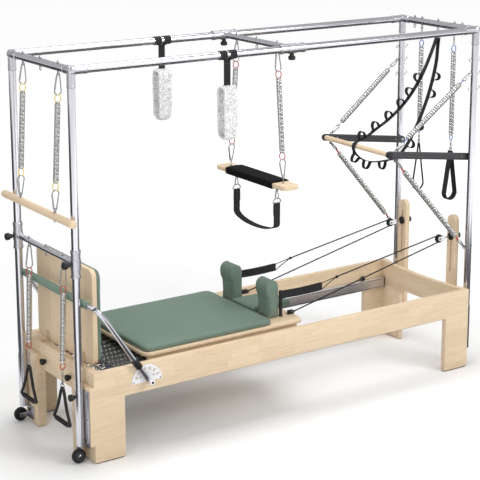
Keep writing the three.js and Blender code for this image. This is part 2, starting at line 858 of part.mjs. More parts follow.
// Crossbar that slides on the foot posts
const sliderEnds = [-1, 1].map((sign) => fuse(
  tube([-post_x, sign * post_y, slider_height - slider_sleeve_length / 2],
    [-post_x, sign * post_y, slider_height + slider_sleeve_length / 2], sleeve_radius, sleeve_bore),
  rodX(-post_x - sleeve_bore - sleeve_wall / 3, -post_x - slider_knob_reach, sign * post_y, slider_height,
    slider_pin_radius),
  rodX(-post_x - slider_knob_reach + slider_knob_length, -post_x - slider_knob_reach, sign * post_y,
    slider_height,
    slider_knob_radius)));
const slider_reach = post_y - sleeve_bore - sleeve_wall / 3;
const sliderEyes = [-handle_eye_offset, 0, handle_eye_offset].flatMap((y) =>
  hangingEye(-post_x, y, slider_height, slider_tube_radius, eye_radius));
add('adjustable_crossbar', fuse(
  rodY(-slider_reach, slider_reach, -post_x, slider_height, slider_tube_radius, tube_sides),
  sliderEnds, sliderEyes), polished);

// Handles on their springs
for (const [side, sign] of Object.entries(sides)) {
  const hang = new THREE.Group();
  hang.position.set(-post_x, sign * handle_eye_offset, slider_eye_z);
  hang.rotation.y = Math.atan(handle_lean_share);
  part.add(hang);
  placeSpring(`handle_spring_${side}`, [0, 0, 0], [0, 0, -handle_length], [1, 0, 0],
    handle_body_start, handle_body_end, hang);
  const apex = -handle_length - eye_drop;
  const base = apex - handle_rise;
  const half = handle_width / 2;
  add(`handle_${side}`, fuse(
    eyeRing(0, 0, -handle_length, 'y'),
    ball(0, 0, apex, handle_bar_radius),
    rod([0, 0, apex], [0, -half, base], handle_leg_radius, thin_sides),
    rod([0, 0, apex], [0, half, base], handle_leg_radius, thin_sides),
    rodY(-half - handle_leg_radius, half + handle_leg_radius, 0, base, handle_bar_radius)), black_plastic,
      hang);
}

// Trapeze crossbar on the top rails
const trapezeEnds = [-1, 1].map((sign) => fuse(
  tube([-trapeze_sleeve_length / 2, sign * post_y, top_rail_height],
    [trapeze_sleeve_length / 2, sign * post_y, top_rail_height], sleeve_radius, sleeve_bore),
  rodZ(top_rail_height - sleeve_bore - sleeve_wall / 3, top_rail_height - trapeze_knob_drop, 0,
    sign * post_y,
    trapeze_knob_radius)));
const trapeze_reach = post_y - sleeve_bore - sleeve_wall / 3;
const trapeze_eye_z = top_rail_height - trapeze_tube_radius - eye_drop;
const trapezeEyes = [-trapeze_eye_offset, 0, trapeze_eye_offset].flatMap((y) =>
  hangingEye(0, y, top_rail_height, trapeze_tube_radius, eye_drop));
add('trapeze_crossbar', fuse(
  rodY(-trapeze_reach, trapeze_reach, 0, top_rail_height, trapeze_tube_radius, tube_sides),
  trapezeEnds, trapezeEyes), polished);

// Trapeze springs, padded seat and foot sling
const seat_eye_z = trapeze_eye_z - trapeze_length;
const sling_eye_offset = cover_length / 2 - sling_eye_inset;
const seat_top = seat_eye_z - seat_drop;
const seat_bottom = seat_top - seat_thickness;
const sling_eye_z = seat_bottom - cover_margin_z - eye_radius;
for (const [side, sign] of Object.entries(sides)) {
  placeSpring(`trapeze_spring_${side}`, [0, sign * trapeze_eye_offset, trapeze_eye_z],
    [0, sign * trapeze_seat_eye_offset, seat_eye_z], [1, 0, 0], trapeze_body_start, trapeze_body_end, part);
}
const seatEyes = [-1, 1].flatMap((sign) => [
  eyeRing(0, sign * trapeze_seat_eye_offset, seat_eye_z, 'y'),
  rodZ(seat_eye_z - eye_radius, seat_bottom, 0, sign * trapeze_seat_eye_offset, eye_wire),
  eyeRing(0, sign * sling_eye_offset, sling_eye_z, 'y'),
]);
add('trapeze_seat', fuse(
  block(-seat_width / 2, seat_width / 2, -seat_length / 2, seat_length / 2, seat_bottom, seat_top),
  extrudeY(roundedBox(-seat_width / 2 - cover_margin_x, seat_width / 2 + cover_margin_x,
    seat_bottom - cover_margin_z, seat_top + cover_margin_z, cover_margin_z), -cover_length / 2,
      cover_length / 2, bend_steps - 1),
  seatEyes), webbing);

const sling_top = sling_eye_z - eye_radius + eye_wire + link_wire + link_gap;
const strap_top = sling_top - sling_link_length;
function slingOutline() {
  const outer = sling_eye_offset + sling_strap_thickness / 2;
  const inner = outer - sling_strap_thickness;
  const bend = strap_top - sling_straight;
  const steps = 6;
  const arc = (half, sag) => Array.from({ length: steps + 1 }, (_, k) => {
    const angle = (Math.PI * k) / steps;
    return [half * Math.cos(angle), bend - sag * Math.sin(angle)];
  });
  return outline([
    [outer, strap_top], [inner, strap_top],
    ...arc(inner, sling_sag - sling_strap_thickness),
    [-inner, strap_top], [-outer, strap_top],
    ...arc(outer, sling_sag).reverse(),
  ]);
}
const slingHangers = [-1, 1].flatMap((sign) => [
  link(strap_top, sling_top, link_radius, link_wire).translate(0, sign * sling_eye_offset, 0),
  rodX(-sling_strap_width / 2, sling_strap_width / 2, sign * sling_eye_offset, strap_top, sling_bar_radius),
]);
add('trapeze_sling', fuse(
  extrudeX(slingOutline(), -sling_strap_width / 2, sling_strap_width / 2), slingHangers), webbing);

// Push-through bar: two flat arms and a dowel, pivoted on the head posts
const push = new THREE.Group();
const push_tilt = Math.atan(push_rise_share);
push.position.set(post_x, 0, push_pivot_height);
push.rotation.y = push_tilt;
part.add(push);
const arm_outer = post_y - tube_radius - push_arm_post_gap;
const arm_inner = arm_outer - push_arm_thickness;
const pushArms = [-1, 1].flatMap((sign) => [
  extrudeY(racetrack(-push_arm_length, 0, 0, push_arm_height / 2), sign * arm_inner, sign * arm_outer,
    bend_steps),
  rodY(sign * arm_inner, sign * (arm_outer + push_arm_post_gap - fit_gap), 0, 0, push_boss_radius),
  rodY(sign * arm_outer, sign * (arm_outer + dowel_cap_length), -push_arm_length, 0, dowel_cap_radius),
  eyeRing(-push_arm_length + push_eye_inset, sign * (arm_inner + push_arm_thickness / 2), push_eye_rise,
    'x'),
  eyeRing(-push_arm_length + push_eye_inset, sign * (arm_inner + push_arm_thickness / 2), -push_eye_rise,
    'x'),
]);
add('push_through_bar', fuse(
  rodY(-arm_outer, arm_outer, -push_arm_length, 0, dowel_radius), pushArms), dowel_wood, push);

// Four springs between the push-through bar and the head posts
function onPushBar(x, z) {
  const point = new THREE.Vector3(x, 0, z).applyAxisAngle(new THREE.Vector3(0, 1, 0), push_tilt);
  return [point.x + post_x, point.z + push_pivot_height];
}
const hook_x = post_x - tube_radius - push_hook_reach;
const high_hook_z = top_rail_height - post_eye_drops[1];
for (const [side, sign] of Object.entries(sides)) {
  const eye_y = sign * (arm_inner + push_arm_thickness / 2);
  const [top_x, top_z] = onPushBar(-push_arm_length + push_eye_inset, push_eye_rise);
  const [low_x, low_z] = onPushBar(-push_arm_length + push_eye_inset, -push_eye_rise);
  const high_hook = [hook_x, sign * post_y, high_hook_z];
  const low_hook = [hook_x, sign * post_y, push_hook_bottom];
  const top_run = Math.hypot(hook_x - top_x, high_hook_z - top_z, sign * post_y - eye_y);
  const low_run = Math.hypot(hook_x - low_x, push_hook_bottom - low_z, sign * post_y - eye_y);
  placeSpring(`push_spring_top_${side}`, high_hook, [top_x, eye_y, top_z], [0, 1, 0],
    push_top_body_start, top_run - push_top_body_tail, part);
  placeSpring(`push_spring_low_${side}`, [low_x, eye_y, low_z], low_hook, [0, 1, 0],
    push_low_body_start, low_run - push_low_body_tail, part);
}

// Leg springs with their foot straps
function teardrop(half, drop, thickness) {
  const low = -drop + half;
  const steps = 8;
  const bow = (radius) => Array.from({ length: steps + 1 }, (_, k) => {
    const angle = (Math.PI * k) / steps;
    return [-radius * Math.cos(angle), low - radius * Math.sin(angle)];
  });
  const shape = outline([[0, -eye_drop], ...bow(half)]);
  shape.holes.push(new THREE.Path([[0, -eye_drop - 3 * thickness], ...bow(half - thickness)]
    .map(([u, v]) => new THREE.Vector2(u, v))));
  return shape;
}
for (const [side, sign] of Object.entries(sides)) {
  const y = sign * leg_eye_offset;
  const ring_z = crossbar_eye_z - leg_length;
  const width = side === 'near' ? near_strap_width : far_strap_width;
  placeSpring(`leg_spring_${side}`, [post_x, y, crossbar_eye_z], [post_x, y, ring_z], [1, 0, 0],
    leg_body_start, leg_body_end, part);
  const loop = extrudeY(teardrop(strap_half_width, strap_drop, strap_thickness), -width / 2, width / 2);
  const knuckle = rodY(-width / 2, width / 2, 0, -eye_drop - strap_thickness / 2, 2 * strap_thickness);
  const strap = fuse(loop, knuckle, eyeRing(0, 0, 0, 'y'));
  add(`foot_strap_${side}`, strap.translate(post_x, y, ring_z), webbing);
}

// Looped strap: it hangs from the middle eye and drapes over the push-through bar
// Points of its route, as insets from the head posts' axis and drops from the top rails
const ladder_route = [
  [-7, 75], [-2, 131], [5, 211], [29, 311], [62, 410], [102, 500], [150, 589],
  [199, 661], [240, 707], [277, 739], [356, 745], [434, 743], [492, 731], [541, 709],
  [578, 679], [595, 649], [591, 625], [571, 613], [534, 603], [493, 587], [436, 556],
  [349, 512], [262, 452], [193, 389], [124, 302], [76, 221], [32, 131], [7, 75],
].map(([inset, drop]) => [post_x - inset, top_rail_height - drop]);
const ladder_loop_places = [0.05, 0.13, 0.21, 0.66, 0.74, 0.82, 0.9];
function ladderLoop() {
  const route = new THREE.CatmullRomCurve3(
    ladder_route.map(([x, z]) => new THREE.Vector3(x, 0, z)), true, 'centripetal');
  const count = ladder_route.length;
  const edge = (offset) => Array.from({ length: count }, (_, k) => {
    const point = route.getPoint(k / count);
    const along = route.getTangent(k / count);
    return new THREE.Vector2(point.x - offset * along.z, point.z + offset * along.x);
  });
  const shape = new THREE.Shape(edge(ladder_thickness / 2).reverse());
  shape.holes.push(new THREE.Path(edge(-ladder_thickness / 2).reverse()));
  const band = extrudeY(shape, -ladder_width / 2, ladder_width / 2);
  const loops = ladder_loop_places.map((share) => {
    const point = route.getPointAt(share);
    const along = route.getTangentAt(share);
    const reach = ladder_loop_radius - ladder_thickness / 2;
    const ring = new THREE.Shape();
    const centre_x = point.x + reach * along.z * ladderSide(share);
    const centre_z = point.z - reach * along.x * ladderSide(share);
    ring.absarc(centre_x, centre_z, ladder_loop_radius, 0, 2 * Math.PI);
    const hole = new THREE.Path();
    hole.absarc(centre_x, centre_z, ladder_loop_radius - ladder_loop_thickness, 0, 2 * Math.PI);
    ring.holes.push(hole);
    return extrudeY(ring, -ladder_width / 2, ladder_width / 2, loop_steps);
  });
  return [band, ...loops];
}
function ladderSide(share) {
  return share < 1 / 2 ? -1 : 1;
}
const hook_top = crossbar_eye_z - eye_radius + eye_wire + link_wire + link_gap;
add('ladder_strap', fuse(
  ladderLoop(),
  rodY(-ladder_width / 2, ladder_width / 2, post_x, hook_top - ladder_hook_link - ladder_knuckle_radius / 2,
    ladder_knuckle_radius),
  link(hook_top - ladder_hook_link, hook_top, link_radius, link_wire).translate(post_x, 0, 0)), webbing);

// Fleece loops: a band that opens along the rail, on a strap that wraps the rail twice
for (const [side, sign] of Object.entries(sides)) {
  const y = sign * post_y;
  const high = top_rail_height - fleece_top_drop;
  const low = high - fleece_length;
  const half = fleece_depth / 2;
  const inner = half - fleece_thickness;
  const band = roundedBox(y - half, y + half, low, high, fleece_bend);
  band.holes.push(roundedBox(y - inner, y + inner, low + fleece_thickness, high - fleece_thickness,
    fleece_bend - fleece_thickness));
  const wraps = [-1, 1].map((way) => {
    const middle = fleece_place + (way * fleece_wrap_spacing) / 2;
    return tube([middle - fleece_wrap_width / 2, y, top_rail_height],
      [middle + fleece_wrap_width / 2, y, top_rail_height], sleeve_radius, sleeve_bore);
  });
  add(`fleece_loop_${side}`, fuse(
    wraps,
    block(fleece_place - fleece_strap_width / 2, fleece_place + fleece_strap_width / 2,
      y - fleece_strap_thickness / 2, y + fleece_strap_thickness / 2,
      high - fleece_thickness / 2, top_rail_height - sleeve_bore - sleeve_wall / 3),
    extrudeX(band, fleece_place - fleece_width / 2, fleece_place + fleece_width / 2, bend_steps - 1)),
      fleece);
}

// Carriage: the board with its two chassis bars, loop posts and rope cleats
const chassis = [-1, 1].map((sign) => cut(
  block(carriage_foot_end + chassis_inset, carriage_head_end - chassis_inset,
    sign * (chassis_offset - chassis_width / 2), sign * (chassis_offset + chassis_width / 2),
    chassis_bottom, carriage_board_bottom + carriage_board_thickness / 2),
  [foot_axle_place, head_axle_place].map((x) => rodY(
    sign * (chassis_offset - chassis_width), sign * (chassis_offset + chassis_width), x, axle_height,
    axle_radius + axle_gap))));
const carriageFittings = [-1, 1].flatMap((sign) => [
  rodZ(carriage_board_bottom + carriage_board_thickness / 2, board_top + loop_post_height,
    loop_post_place, sign * rope_offset, loop_post_radius),
  block(cleat_place - cleat_length / 2, cleat_place + cleat_length / 2 - cleat_rope_gap,
    sign * rope_offset - cleat_width / 2, sign * rope_offset + cleat_width / 2,
    board_top - carriage_board_thickness / 2, board_top + cleat_height),
]);
add('carriage_board', fuse(
  extrudeZ(roundedBox(carriage_foot_end, carriage_head_end, -carriage_half_width, carriage_half_width,
    carriage_corner), carriage_board_bottom, board_top, bend_steps),
  chassis, carriageFittings), wood);

add('carriage_pad', cushion(carriage_foot_end + pad_inset, pad_head_end, -carriage_half_width + pad_inset,
  carriage_half_width - pad_inset, pad_bottom, pad_bottom + pad_thickness - pad_crown, carriage_corner,
    pad_crown),
vinyl);

for (const [name, place] of [['wheelset_foot', foot_axle_place], ['wheelset_head', head_axle_place]]) {
  const wheels = [-1, 1].map((sign) => rodY(sign * (wheel_offset - wheel_width / 2),
    sign * (wheel_offset + wheel_width / 2), place, axle_height, wheel_radius, tube_sides));
  add(name, fuse(rodY(-wheel_offset, wheel_offset, place, axle_height, axle_radius), wheels),
    black_plastic);
}

add('headrest', fuse(
  block(headrest_foot_end, headrest_head_end, -headrest_half_width, headrest_half_width,
    pad_bottom, pad_bottom + headrest_board),
  cushion(headrest_foot_end, headrest_head_end, -headrest_half_width, headrest_half_width,
    pad_bottom + headrest_board - pad_overlap, pad_bottom + pad_thickness - pad_crown, pad_edge_round,
    pad_crown)), vinyl);

// Shoulder rests: an upright pad whose round top leans over the carriage pad
function shoulderProfile() {
  const low = pad_bottom;
  const lobe_z = low + rest_height - rest_lobe_radius;
  const front = rest_back - rest_thickness;
  const lobe_x = front - rest_lobe_overhang + rest_lobe_radius;
  const shape = new THREE.Shape();
  shape.moveTo(rest_back, low);
  shape.lineTo(rest_back, lobe_z);
  shape.absarc(lobe_x, lobe_z, rest_lobe_radius, 0, Math.PI);
  shape.quadraticCurveTo(front - rest_lobe_overhang, lobe_z - rest_lobe_radius, front,
    lobe_z - rest_fillet_reach);
  shape.lineTo(front, low);
  return shape;
}
for (const [side, sign] of Object.entries(sides)) {
  add(`shoulder_rest_${side}`, extrudeY(shoulderProfile(), sign * rest_inner, sign * rest_outer,
    profile_steps), vinyl);
}

// Ropes with their hand loops, each whole along its route
const rope_ring = pulley_root + rope_pulley_gap + rope_radius;
const cleat_rope_x = cleat_place + cleat_length / 2;
const cleat_rope_z = board_top + cleat_height / 2;
function tangentAngle(x, z, way) {
  const toward = Math.atan2(z - pulley_height, x - pulley_place);
  return toward + way * Math.acos(rope_ring / Math.hypot(x - pulley_place, z - pulley_height));
}
function ropeSolid(sign) {
  const y = sign * rope_offset;
  const high_angle = tangentAngle(loop_knot_place, loop_knot_height, -1);
  const low_angle = tangentAngle(cleat_rope_x, cleat_rope_z, 1);
  const arc = Array.from({ length: rope_arc_steps + 1 }, (_, k) => {
    const angle = high_angle + ((low_angle - high_angle) * k) / rope_arc_steps;
    return [pulley_place + rope_ring * Math.cos(angle), y, pulley_height + rope_ring * Math.sin(angle)];
  });
  const route = [[loop_knot_place, y, loop_knot_height], ...arc, [cleat_rope_x, y, cleat_rope_z]];
  const band_end = loop_band_end - loop_band_radius;
  const ring = racetrack(loop_post_place, band_end, y, loop_band_radius);
  ring.holes.push(racetrack(loop_post_place, band_end, y, loop_band_radius - loop_band_thickness));
  const low = loop_band_middle - loop_band_height / 2;
  const high = loop_band_middle + loop_band_height / 2;
  const tip = loop_band_end - loop_band_thickness / 2;
  return fuse(
    extrudeZ(ring, low, high, bend_steps - 1),
    rod([tip, y, high - loop_cord_radius], [loop_knot_place, y, loop_knot_height], loop_cord_radius),
    rod([tip, y, low + loop_cord_radius], [loop_knot_place, y, loop_knot_height], loop_cord_radius),
    ball(loop_knot_place, y, loop_knot_height, loop_knot_radius),
    wireSolid(route.map((p) => new THREE.Vector3(...p)), rope_radius, rope_sides));
}
for (const [side, sign] of Object.entries(sides)) {
  add(`rope_${side}`, ropeSolid(sign), rope_cover);
}

// Pulley wheels and the blocks that carry them on the risers
for (const [side, sign] of Object.entries(sides)) {
  const y = sign * rope_offset;
  const half = pulley_width / 2;
  const profile = [
    [pulley_bore, -half], [pulley_radius, -half], [pulley_root, -rope_radius],
    [pulley_root, rope_radius], [pulley_radius, half], [pulley_bore, half], [pulley_bore, -half],
  ].map(([r, w]) => new THREE.Vector2(r, w));
  const wheel = new THREE.LatheGeometry(profile, tube_sides);
  add(`pulley_wheel_${side}`, wheel.translate(pulley_place, y, pulley_height), black_plastic);

  const near = half + pulley_plate_gap;
  const far = near + pulley_plate_thickness;
  const plates = [-1, 1].map((edge) => block(pulley_place - pulley_plate_front,
    pulley_place + pulley_yoke_end,
    y + edge * near, y + edge * far,
    pulley_height - pulley_plate_half_height, pulley_height + pulley_plate_half_height));
  const riser_face = half_length - fit_gap;
  const riser_back = half_length + riser_thickness + fit_gap;
  add(`pulley_block_${side}`, fuse(
    plates,
    block(pulley_place + pulley_yoke_start, pulley_place + pulley_yoke_end, y - far, y + far,
      pulley_height - pulley_plate_half_height, pulley_height + pulley_plate_half_height),
    rodY(y - far, y + far, pulley_place, pulley_height, pulley_pin_radius),
    rodX(pulley_place + pulley_yoke_end, riser_back + pulley_knob_length, y, pulley_height,
      pulley_stem_radius),
    rodX(riser_face - pulley_collar_length, riser_face, y, pulley_height, pulley_knob_radius, tube_sides),
    rodX(riser_back, riser_back + pulley_knob_length, y, pulley_height, pulley_knob_radius, tube_sides)),
  black_plastic);
}

// Carriage springs hooked on the spring bar
const first_spring = -((bed_spring_count - 1) * bed_spring_spacing) / 2;
const bedSprings = Array.from({ length: bed_spring_count }, (_, k) => rodX(spring_bar_place, bed_spring_end,
  first_spring + k * bed_spring_spacing, spring_bar_height, bed_spring_radius, thin_sides));
add('carriage_springs', fuse(
  rodY(-rail_inner + fit_gap, rail_inner - fit_gap, spring_bar_place, spring_bar_height, spring_bar_radius),
  bedSprings), sprung_steel);

// Footbar: a bent tube with a padded grip and its pivot bosses
const plate_face = half_width + fit_gap + footbar_plate_thickness;
const footbar_bends = [
  [-1000, footbar_arm_offset, 510], [-1090, footbar_arm_offset, 645], [-1148, 396, 733],
  [-1182, 384, 777], [-1199, 360, 791],
];
const footbar_path = [-1, 1].map((sign) => [
  [footbar_pivot_place, footbar_arm_offset, footbar_pivot_height],
  ...footbar_bends,
  [footbar_bar_place, footbar_grip_length / 2, footbar_bar_height],
].map(([x, y, z]) => [x, sign * y, z]));
add('footbar', fuse(
  cordAlong([...footbar_path[0], ...footbar_path[1].reverse()], footbar_tube_radius, rod_sides,
    footbar_steps),
  rodY(-footbar_grip_length / 2, footbar_grip_length / 2, footbar_bar_place, footbar_bar_height,
    footbar_grip_radius, tube_sides),
  [-1, 1].map((sign) => rodY(sign * (plate_face + fit_gap), sign * footbar_boss_end, footbar_pivot_place,
    footbar_pivot_height, footbar_boss_radius))), polished);

for (const [side, sign] of Object.entries(sides)) {
  const shape = new THREE.Shape();
  shape.absarc(footbar_plate_place, footbar_plate_bottom, footbar_plate_radius, 0, Math.PI);
  add(`footbar_plate_${side}`, extrudeY(shape, sign * (half_width + fit_gap), sign * plate_face,
    profile_steps),
    white_plate);
}

// Jump board with its hooks over the foot end panel, and its pad
const jump_face = jump_back + jump_board_thickness;
const jumpHooks = [-1, 1].flatMap((sign) => [
  block(foot_panel_face, jump_back + jump_hook_thickness, sign * (jump_hook_offset - jump_hook_width / 2),
    sign * (jump_hook_offset + jump_hook_width / 2), rail_top + fit_gap,
      rail_top + jump_hook_thickness + fit_gap),
  block(jump_back - jump_hook_thickness, jump_back + jump_hook_thickness,
    sign * (jump_hook_offset - jump_hook_width / 2), sign * (jump_hook_offset + jump_hook_width / 2),
    rail_top - jump_hook_drop, jump_bottom + jump_hook_drop),
]);
add('jump_board', fuse(
  extrudeX(roundedBox(-jump_half_width, jump_half_width, jump_bottom, jump_top, jump_corner), jump_back,
    jump_face, bend_steps),
  jumpHooks), wood);
add('jump_board_pad', standUp(cushion(-jump_half_width, jump_half_width, jump_bottom, jump_top,
  jump_face + fit_gap, jump_face + jump_pad_thickness - pad_crown, jump_corner, pad_crown)), vinyl);

console.log(`least gap between the curls of a spring: ${Math.min(...gaps).toFixed(1)} mm`);

// The origin is on the floor under the middle of the whole object
const extent = new THREE.Box3().setFromObject(part);
part.position.x = -(extent.min.x + extent.max.x) / 2;

export default part;
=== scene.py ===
"""Looks of a trapeze table on a reformer bed: finishes, springs, straps, upholstery, fittings and the studio."""

import math
import json

import bmesh
import bpy
from mathutils import Matrix, Vector
from mathutils.bvhtree import BVHTree

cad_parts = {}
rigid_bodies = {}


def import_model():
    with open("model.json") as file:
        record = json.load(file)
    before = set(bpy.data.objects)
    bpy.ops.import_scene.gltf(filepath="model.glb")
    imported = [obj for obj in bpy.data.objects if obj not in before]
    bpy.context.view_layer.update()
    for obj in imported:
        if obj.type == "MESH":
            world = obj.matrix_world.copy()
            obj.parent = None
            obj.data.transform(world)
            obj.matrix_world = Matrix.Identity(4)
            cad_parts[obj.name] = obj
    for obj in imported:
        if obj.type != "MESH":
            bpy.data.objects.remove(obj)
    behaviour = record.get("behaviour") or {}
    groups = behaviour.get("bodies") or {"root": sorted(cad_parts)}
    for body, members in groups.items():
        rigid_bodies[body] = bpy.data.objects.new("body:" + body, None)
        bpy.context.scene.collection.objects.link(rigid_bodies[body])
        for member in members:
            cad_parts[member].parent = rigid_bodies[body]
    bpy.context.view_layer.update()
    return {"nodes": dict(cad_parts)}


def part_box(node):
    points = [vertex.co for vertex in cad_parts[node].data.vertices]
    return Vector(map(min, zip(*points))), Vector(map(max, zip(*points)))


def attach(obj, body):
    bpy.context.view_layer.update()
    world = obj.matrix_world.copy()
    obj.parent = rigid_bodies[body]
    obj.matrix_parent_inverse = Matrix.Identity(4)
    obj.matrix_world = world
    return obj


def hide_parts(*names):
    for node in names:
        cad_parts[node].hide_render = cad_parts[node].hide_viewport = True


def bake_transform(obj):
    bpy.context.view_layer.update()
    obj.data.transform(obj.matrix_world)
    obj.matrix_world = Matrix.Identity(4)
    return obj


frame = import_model()

bl_info = {
    "name": "Trapeze Table Looks",
    "version": (1, 0, 0),
    "blender": (4, 5, 0),
    "location": "3D View > Sidebar > Trapeze Table",
    "description": "Dresses a trapeze table frame with its finishes, springs, straps and upholstery",
    "category": "Object",
}

# The bed's middle comes from the frame; the other sizes are the part's own, in metres
track_low, track_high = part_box("near_track")
BED_MIDDLE = (track_low[0] + track_high[0]) / 2
HALF_BED = 1.2
BOARD_TOP = 0.482  # top of the carriage board
POST_X = 1.246  # axes of the posts, from the bed's middle
POST_Y = 0.310
TOP_Z = 1.921  # axes of the top rails and crossbars
TUBE = 0.019  # radius of the posts and rails, and of the hole in them
BORE = 0.0165
SOCKET = 0.0217  # radius of the sleeves round the posts
EYE = 0.009  # eyebolts: radius of the ring and of its wire, and the drop of its middle below a tube
EYE_WIRE = 0.0021
EYE_DROP = 0.012
CROSSBAR_EYE_Z = TOP_Z - TUBE - EYE_DROP
FITTING_REACH = 0.0803  # how far a corner fitting reaches from the middle of its corner
POST_TOP = TOP_Z - FITTING_REACH
SIDES = {"near": -1, "far": 1}
ORIGIN = Vector((0, 0, 0))
X_AXIS = Vector((1, 0, 0))
Y_AXIS = Vector((0, 1, 0))
Z_AXIS = Vector((0, 0, 1))


def at(x, y, z):
    """A point given from the middle of the bed."""
    return Vector((x + BED_MIDDLE, y, z))


# Sizes and colours that a user would change
class TableSpringSettings(bpy.types.PropertyGroup):
    coil_radius: bpy.props.FloatProperty(
        name="Coil radius", description="Middle of the wire to the axis", default=0.0128, unit="LENGTH")
    wire_radius: bpy.props.FloatProperty(
        name="Wire radius", description="Thickness of the spring wire", default=0.0017, unit="LENGTH")
    pitch: bpy.props.FloatProperty(
        name="Pitch", description="Run of one turn of a spring", default=0.0041, unit="LENGTH")
    loop_length: bpy.props.FloatProperty(
        name="Loop length", description="Longest coloured loop at a spring's end", default=0.037, unit="LENGTH")


class TableFinishSettings(bpy.types.PropertyGroup):
    wood_light: bpy.props.FloatVectorProperty(
        name="Light wood", description="Palest blocks of the maple", subtype="COLOR", default=(0.80, 0.64, 0.45))
    wood_dark: bpy.props.FloatVectorProperty(
        name="Dark wood", description="Darkest blocks of the maple", subtype="COLOR", default=(0.64, 0.47, 0.29))
    vinyl: bpy.props.FloatVectorProperty(
        name="Upholstery", description="Sage vinyl of the pads", subtype="COLOR", default=(0.165, 0.230, 0.186))
    metal: bpy.props.FloatVectorProperty(
        name="Tube metal", description="Polished aluminium of the tubes", subtype="COLOR",
        default=(0.72, 0.72, 0.77))
    webbing: bpy.props.FloatVectorProperty(
        name="Webbing", description="Black straps", subtype="COLOR", default=(0.024, 0.024, 0.026))
    fleece: bpy.props.FloatVectorProperty(
        name="Fleece", description="Pile of the soft loops", subtype="COLOR", default=(0.96, 0.96, 0.96))


class TablePadSettings(bpy.types.PropertyGroup):
    pressure: bpy.props.FloatProperty(
        name="Pressure", description="Push of the foam under the vinyl", default=4.0)
    cap: bpy.props.FloatProperty(
        name="Most swell", description="Furthest that the cover may move", default=0.005, unit="LENGTH")
    tufts: bpy.props.IntProperty(
        name="Tufts", description="Density of the fleece tufts on a square metre", default=52000)


class TableStageSettings(bpy.types.PropertyGroup):
    floor_colour: bpy.props.FloatVectorProperty(
        name="Floor", description="Colour of the plain floor", subtype="COLOR", default=(0.90, 0.90, 0.90))
    sky_strength: bpy.props.FloatProperty(
        name="Sky", description="Strength of the soft light from all round", default=0.52)
    key_power: bpy.props.FloatProperty(
        name="Key light", description="Strength of the main light", default=200.0, unit="POWER")
    top_power: bpy.props.FloatProperty(
        name="Top light", description="Strength of the light overhead", default=170.0, unit="POWER")
    backdrop_glow: bpy.props.FloatProperty(
        name="Backdrop", description="Glow of the floor far from the table", default=0.5)
    fill_power: bpy.props.FloatProperty(
        name="Fill light", description="Strength of the second light", default=60.0, unit="POWER")


def settings(name):
    return getattr(bpy.context.scene, "table_" + name)


# Paths, sections and outlines
def frames_along(points, closed=False, first=None):
    """A turning frame (across, up) for each point of a path, without twist."""
    count = len(points)
    tangents = []
    for k in range(count):
        before = points[(k - 1) % count] if closed or k > 0 else points[0]
        after = points[(k + 1) % count] if closed or k + 1 < count else points[-1]
        tangents.append((after - before).normalized())
    across = (first or X_AXIS).copy()
    if abs(across.dot(tangents[0])) > 0.9:
        across = Y_AXIS.copy() if abs(tangents[0].y) < 0.9 else Z_AXIS.copy()
    result = []
    for tangent in tangents:
        across = square_to(tangent, across)
        result.append((across.copy(), tangent.cross(across)))
    return result


def square_to(direction, other=None):
    """The part of another direction, or of a main axis, that is square to a direction."""
    across = other or (X_AXIS if abs(direction.x) < 0.9 else Y_AXIS)
    return (across - direction * across.dot(direction)).normalized()


def arc(radius, start, end, steps, middle=(0, 0)):
    """Points of an arc, with its ends in degrees."""
    angles = [math.radians(start + (end - start) * k / steps) for k in range(steps + 1)]
    return [(middle[0] + radius * math.cos(angle), middle[1] + radius * math.sin(angle)) for angle in angles]


def circle_section(radius, sides):
    return [(radius * math.cos(math.tau * k / sides), radius * math.sin(math.tau * k / sides)) for k in range(sides)]


def strap_section(width, thickness, rounding=0.4):
    """A flat section with eased edges, wide along its first axis."""
    half_w, half_t = width / 2, thickness / 2
    ease = half_t * rounding
    half = [(half_w, -half_t + ease), (half_w, half_t - ease), (half_w - ease, half_t), (0, half_t),
            (-half_w + ease, half_t)]
    return half + [(-u, -v) for u, v in half]


def smooth_path(points, steps=8, closed=False):
    """Points of a Catmull-Rom curve through the given points."""
    count = len(points)
    spans = count if closed else count - 1
    result = []
    for k in range(spans):
        p1, p2 = points[k], points[(k + 1) % count]
        p0 = points[(k - 1) % count] if closed or k > 0 else p1 * 2 - p2
        p3 = points[(k + 2) % count] if closed or k + 2 < count else p2 * 2 - p1
        for step in range(steps):
            t = step / steps
            result.append(0.5 * ((2 * p1) + (p2 - p0) * t + (2 * p0 - 5 * p1 + 4 * p2 - p3) * t * t
                                 + (3 * p1 - p0 - 3 * p2 + p3) * t ** 3))
    if not closed:
        result.append(points[-1].copy())
    return result


def rounded_outline(half_u, half_v, corner, steps=8):
    """Counter-clockwise outline of a rectangle with round corners."""
    points = []
    for u, v, start in ((1, -1, -90), (1, 1, 0), (-1, 1, 90), (-1, -1, 180)):
        points += arc(corner, start, start + 90, steps, (u * (half_u - corner), v * (half_v - corner)))
    return points


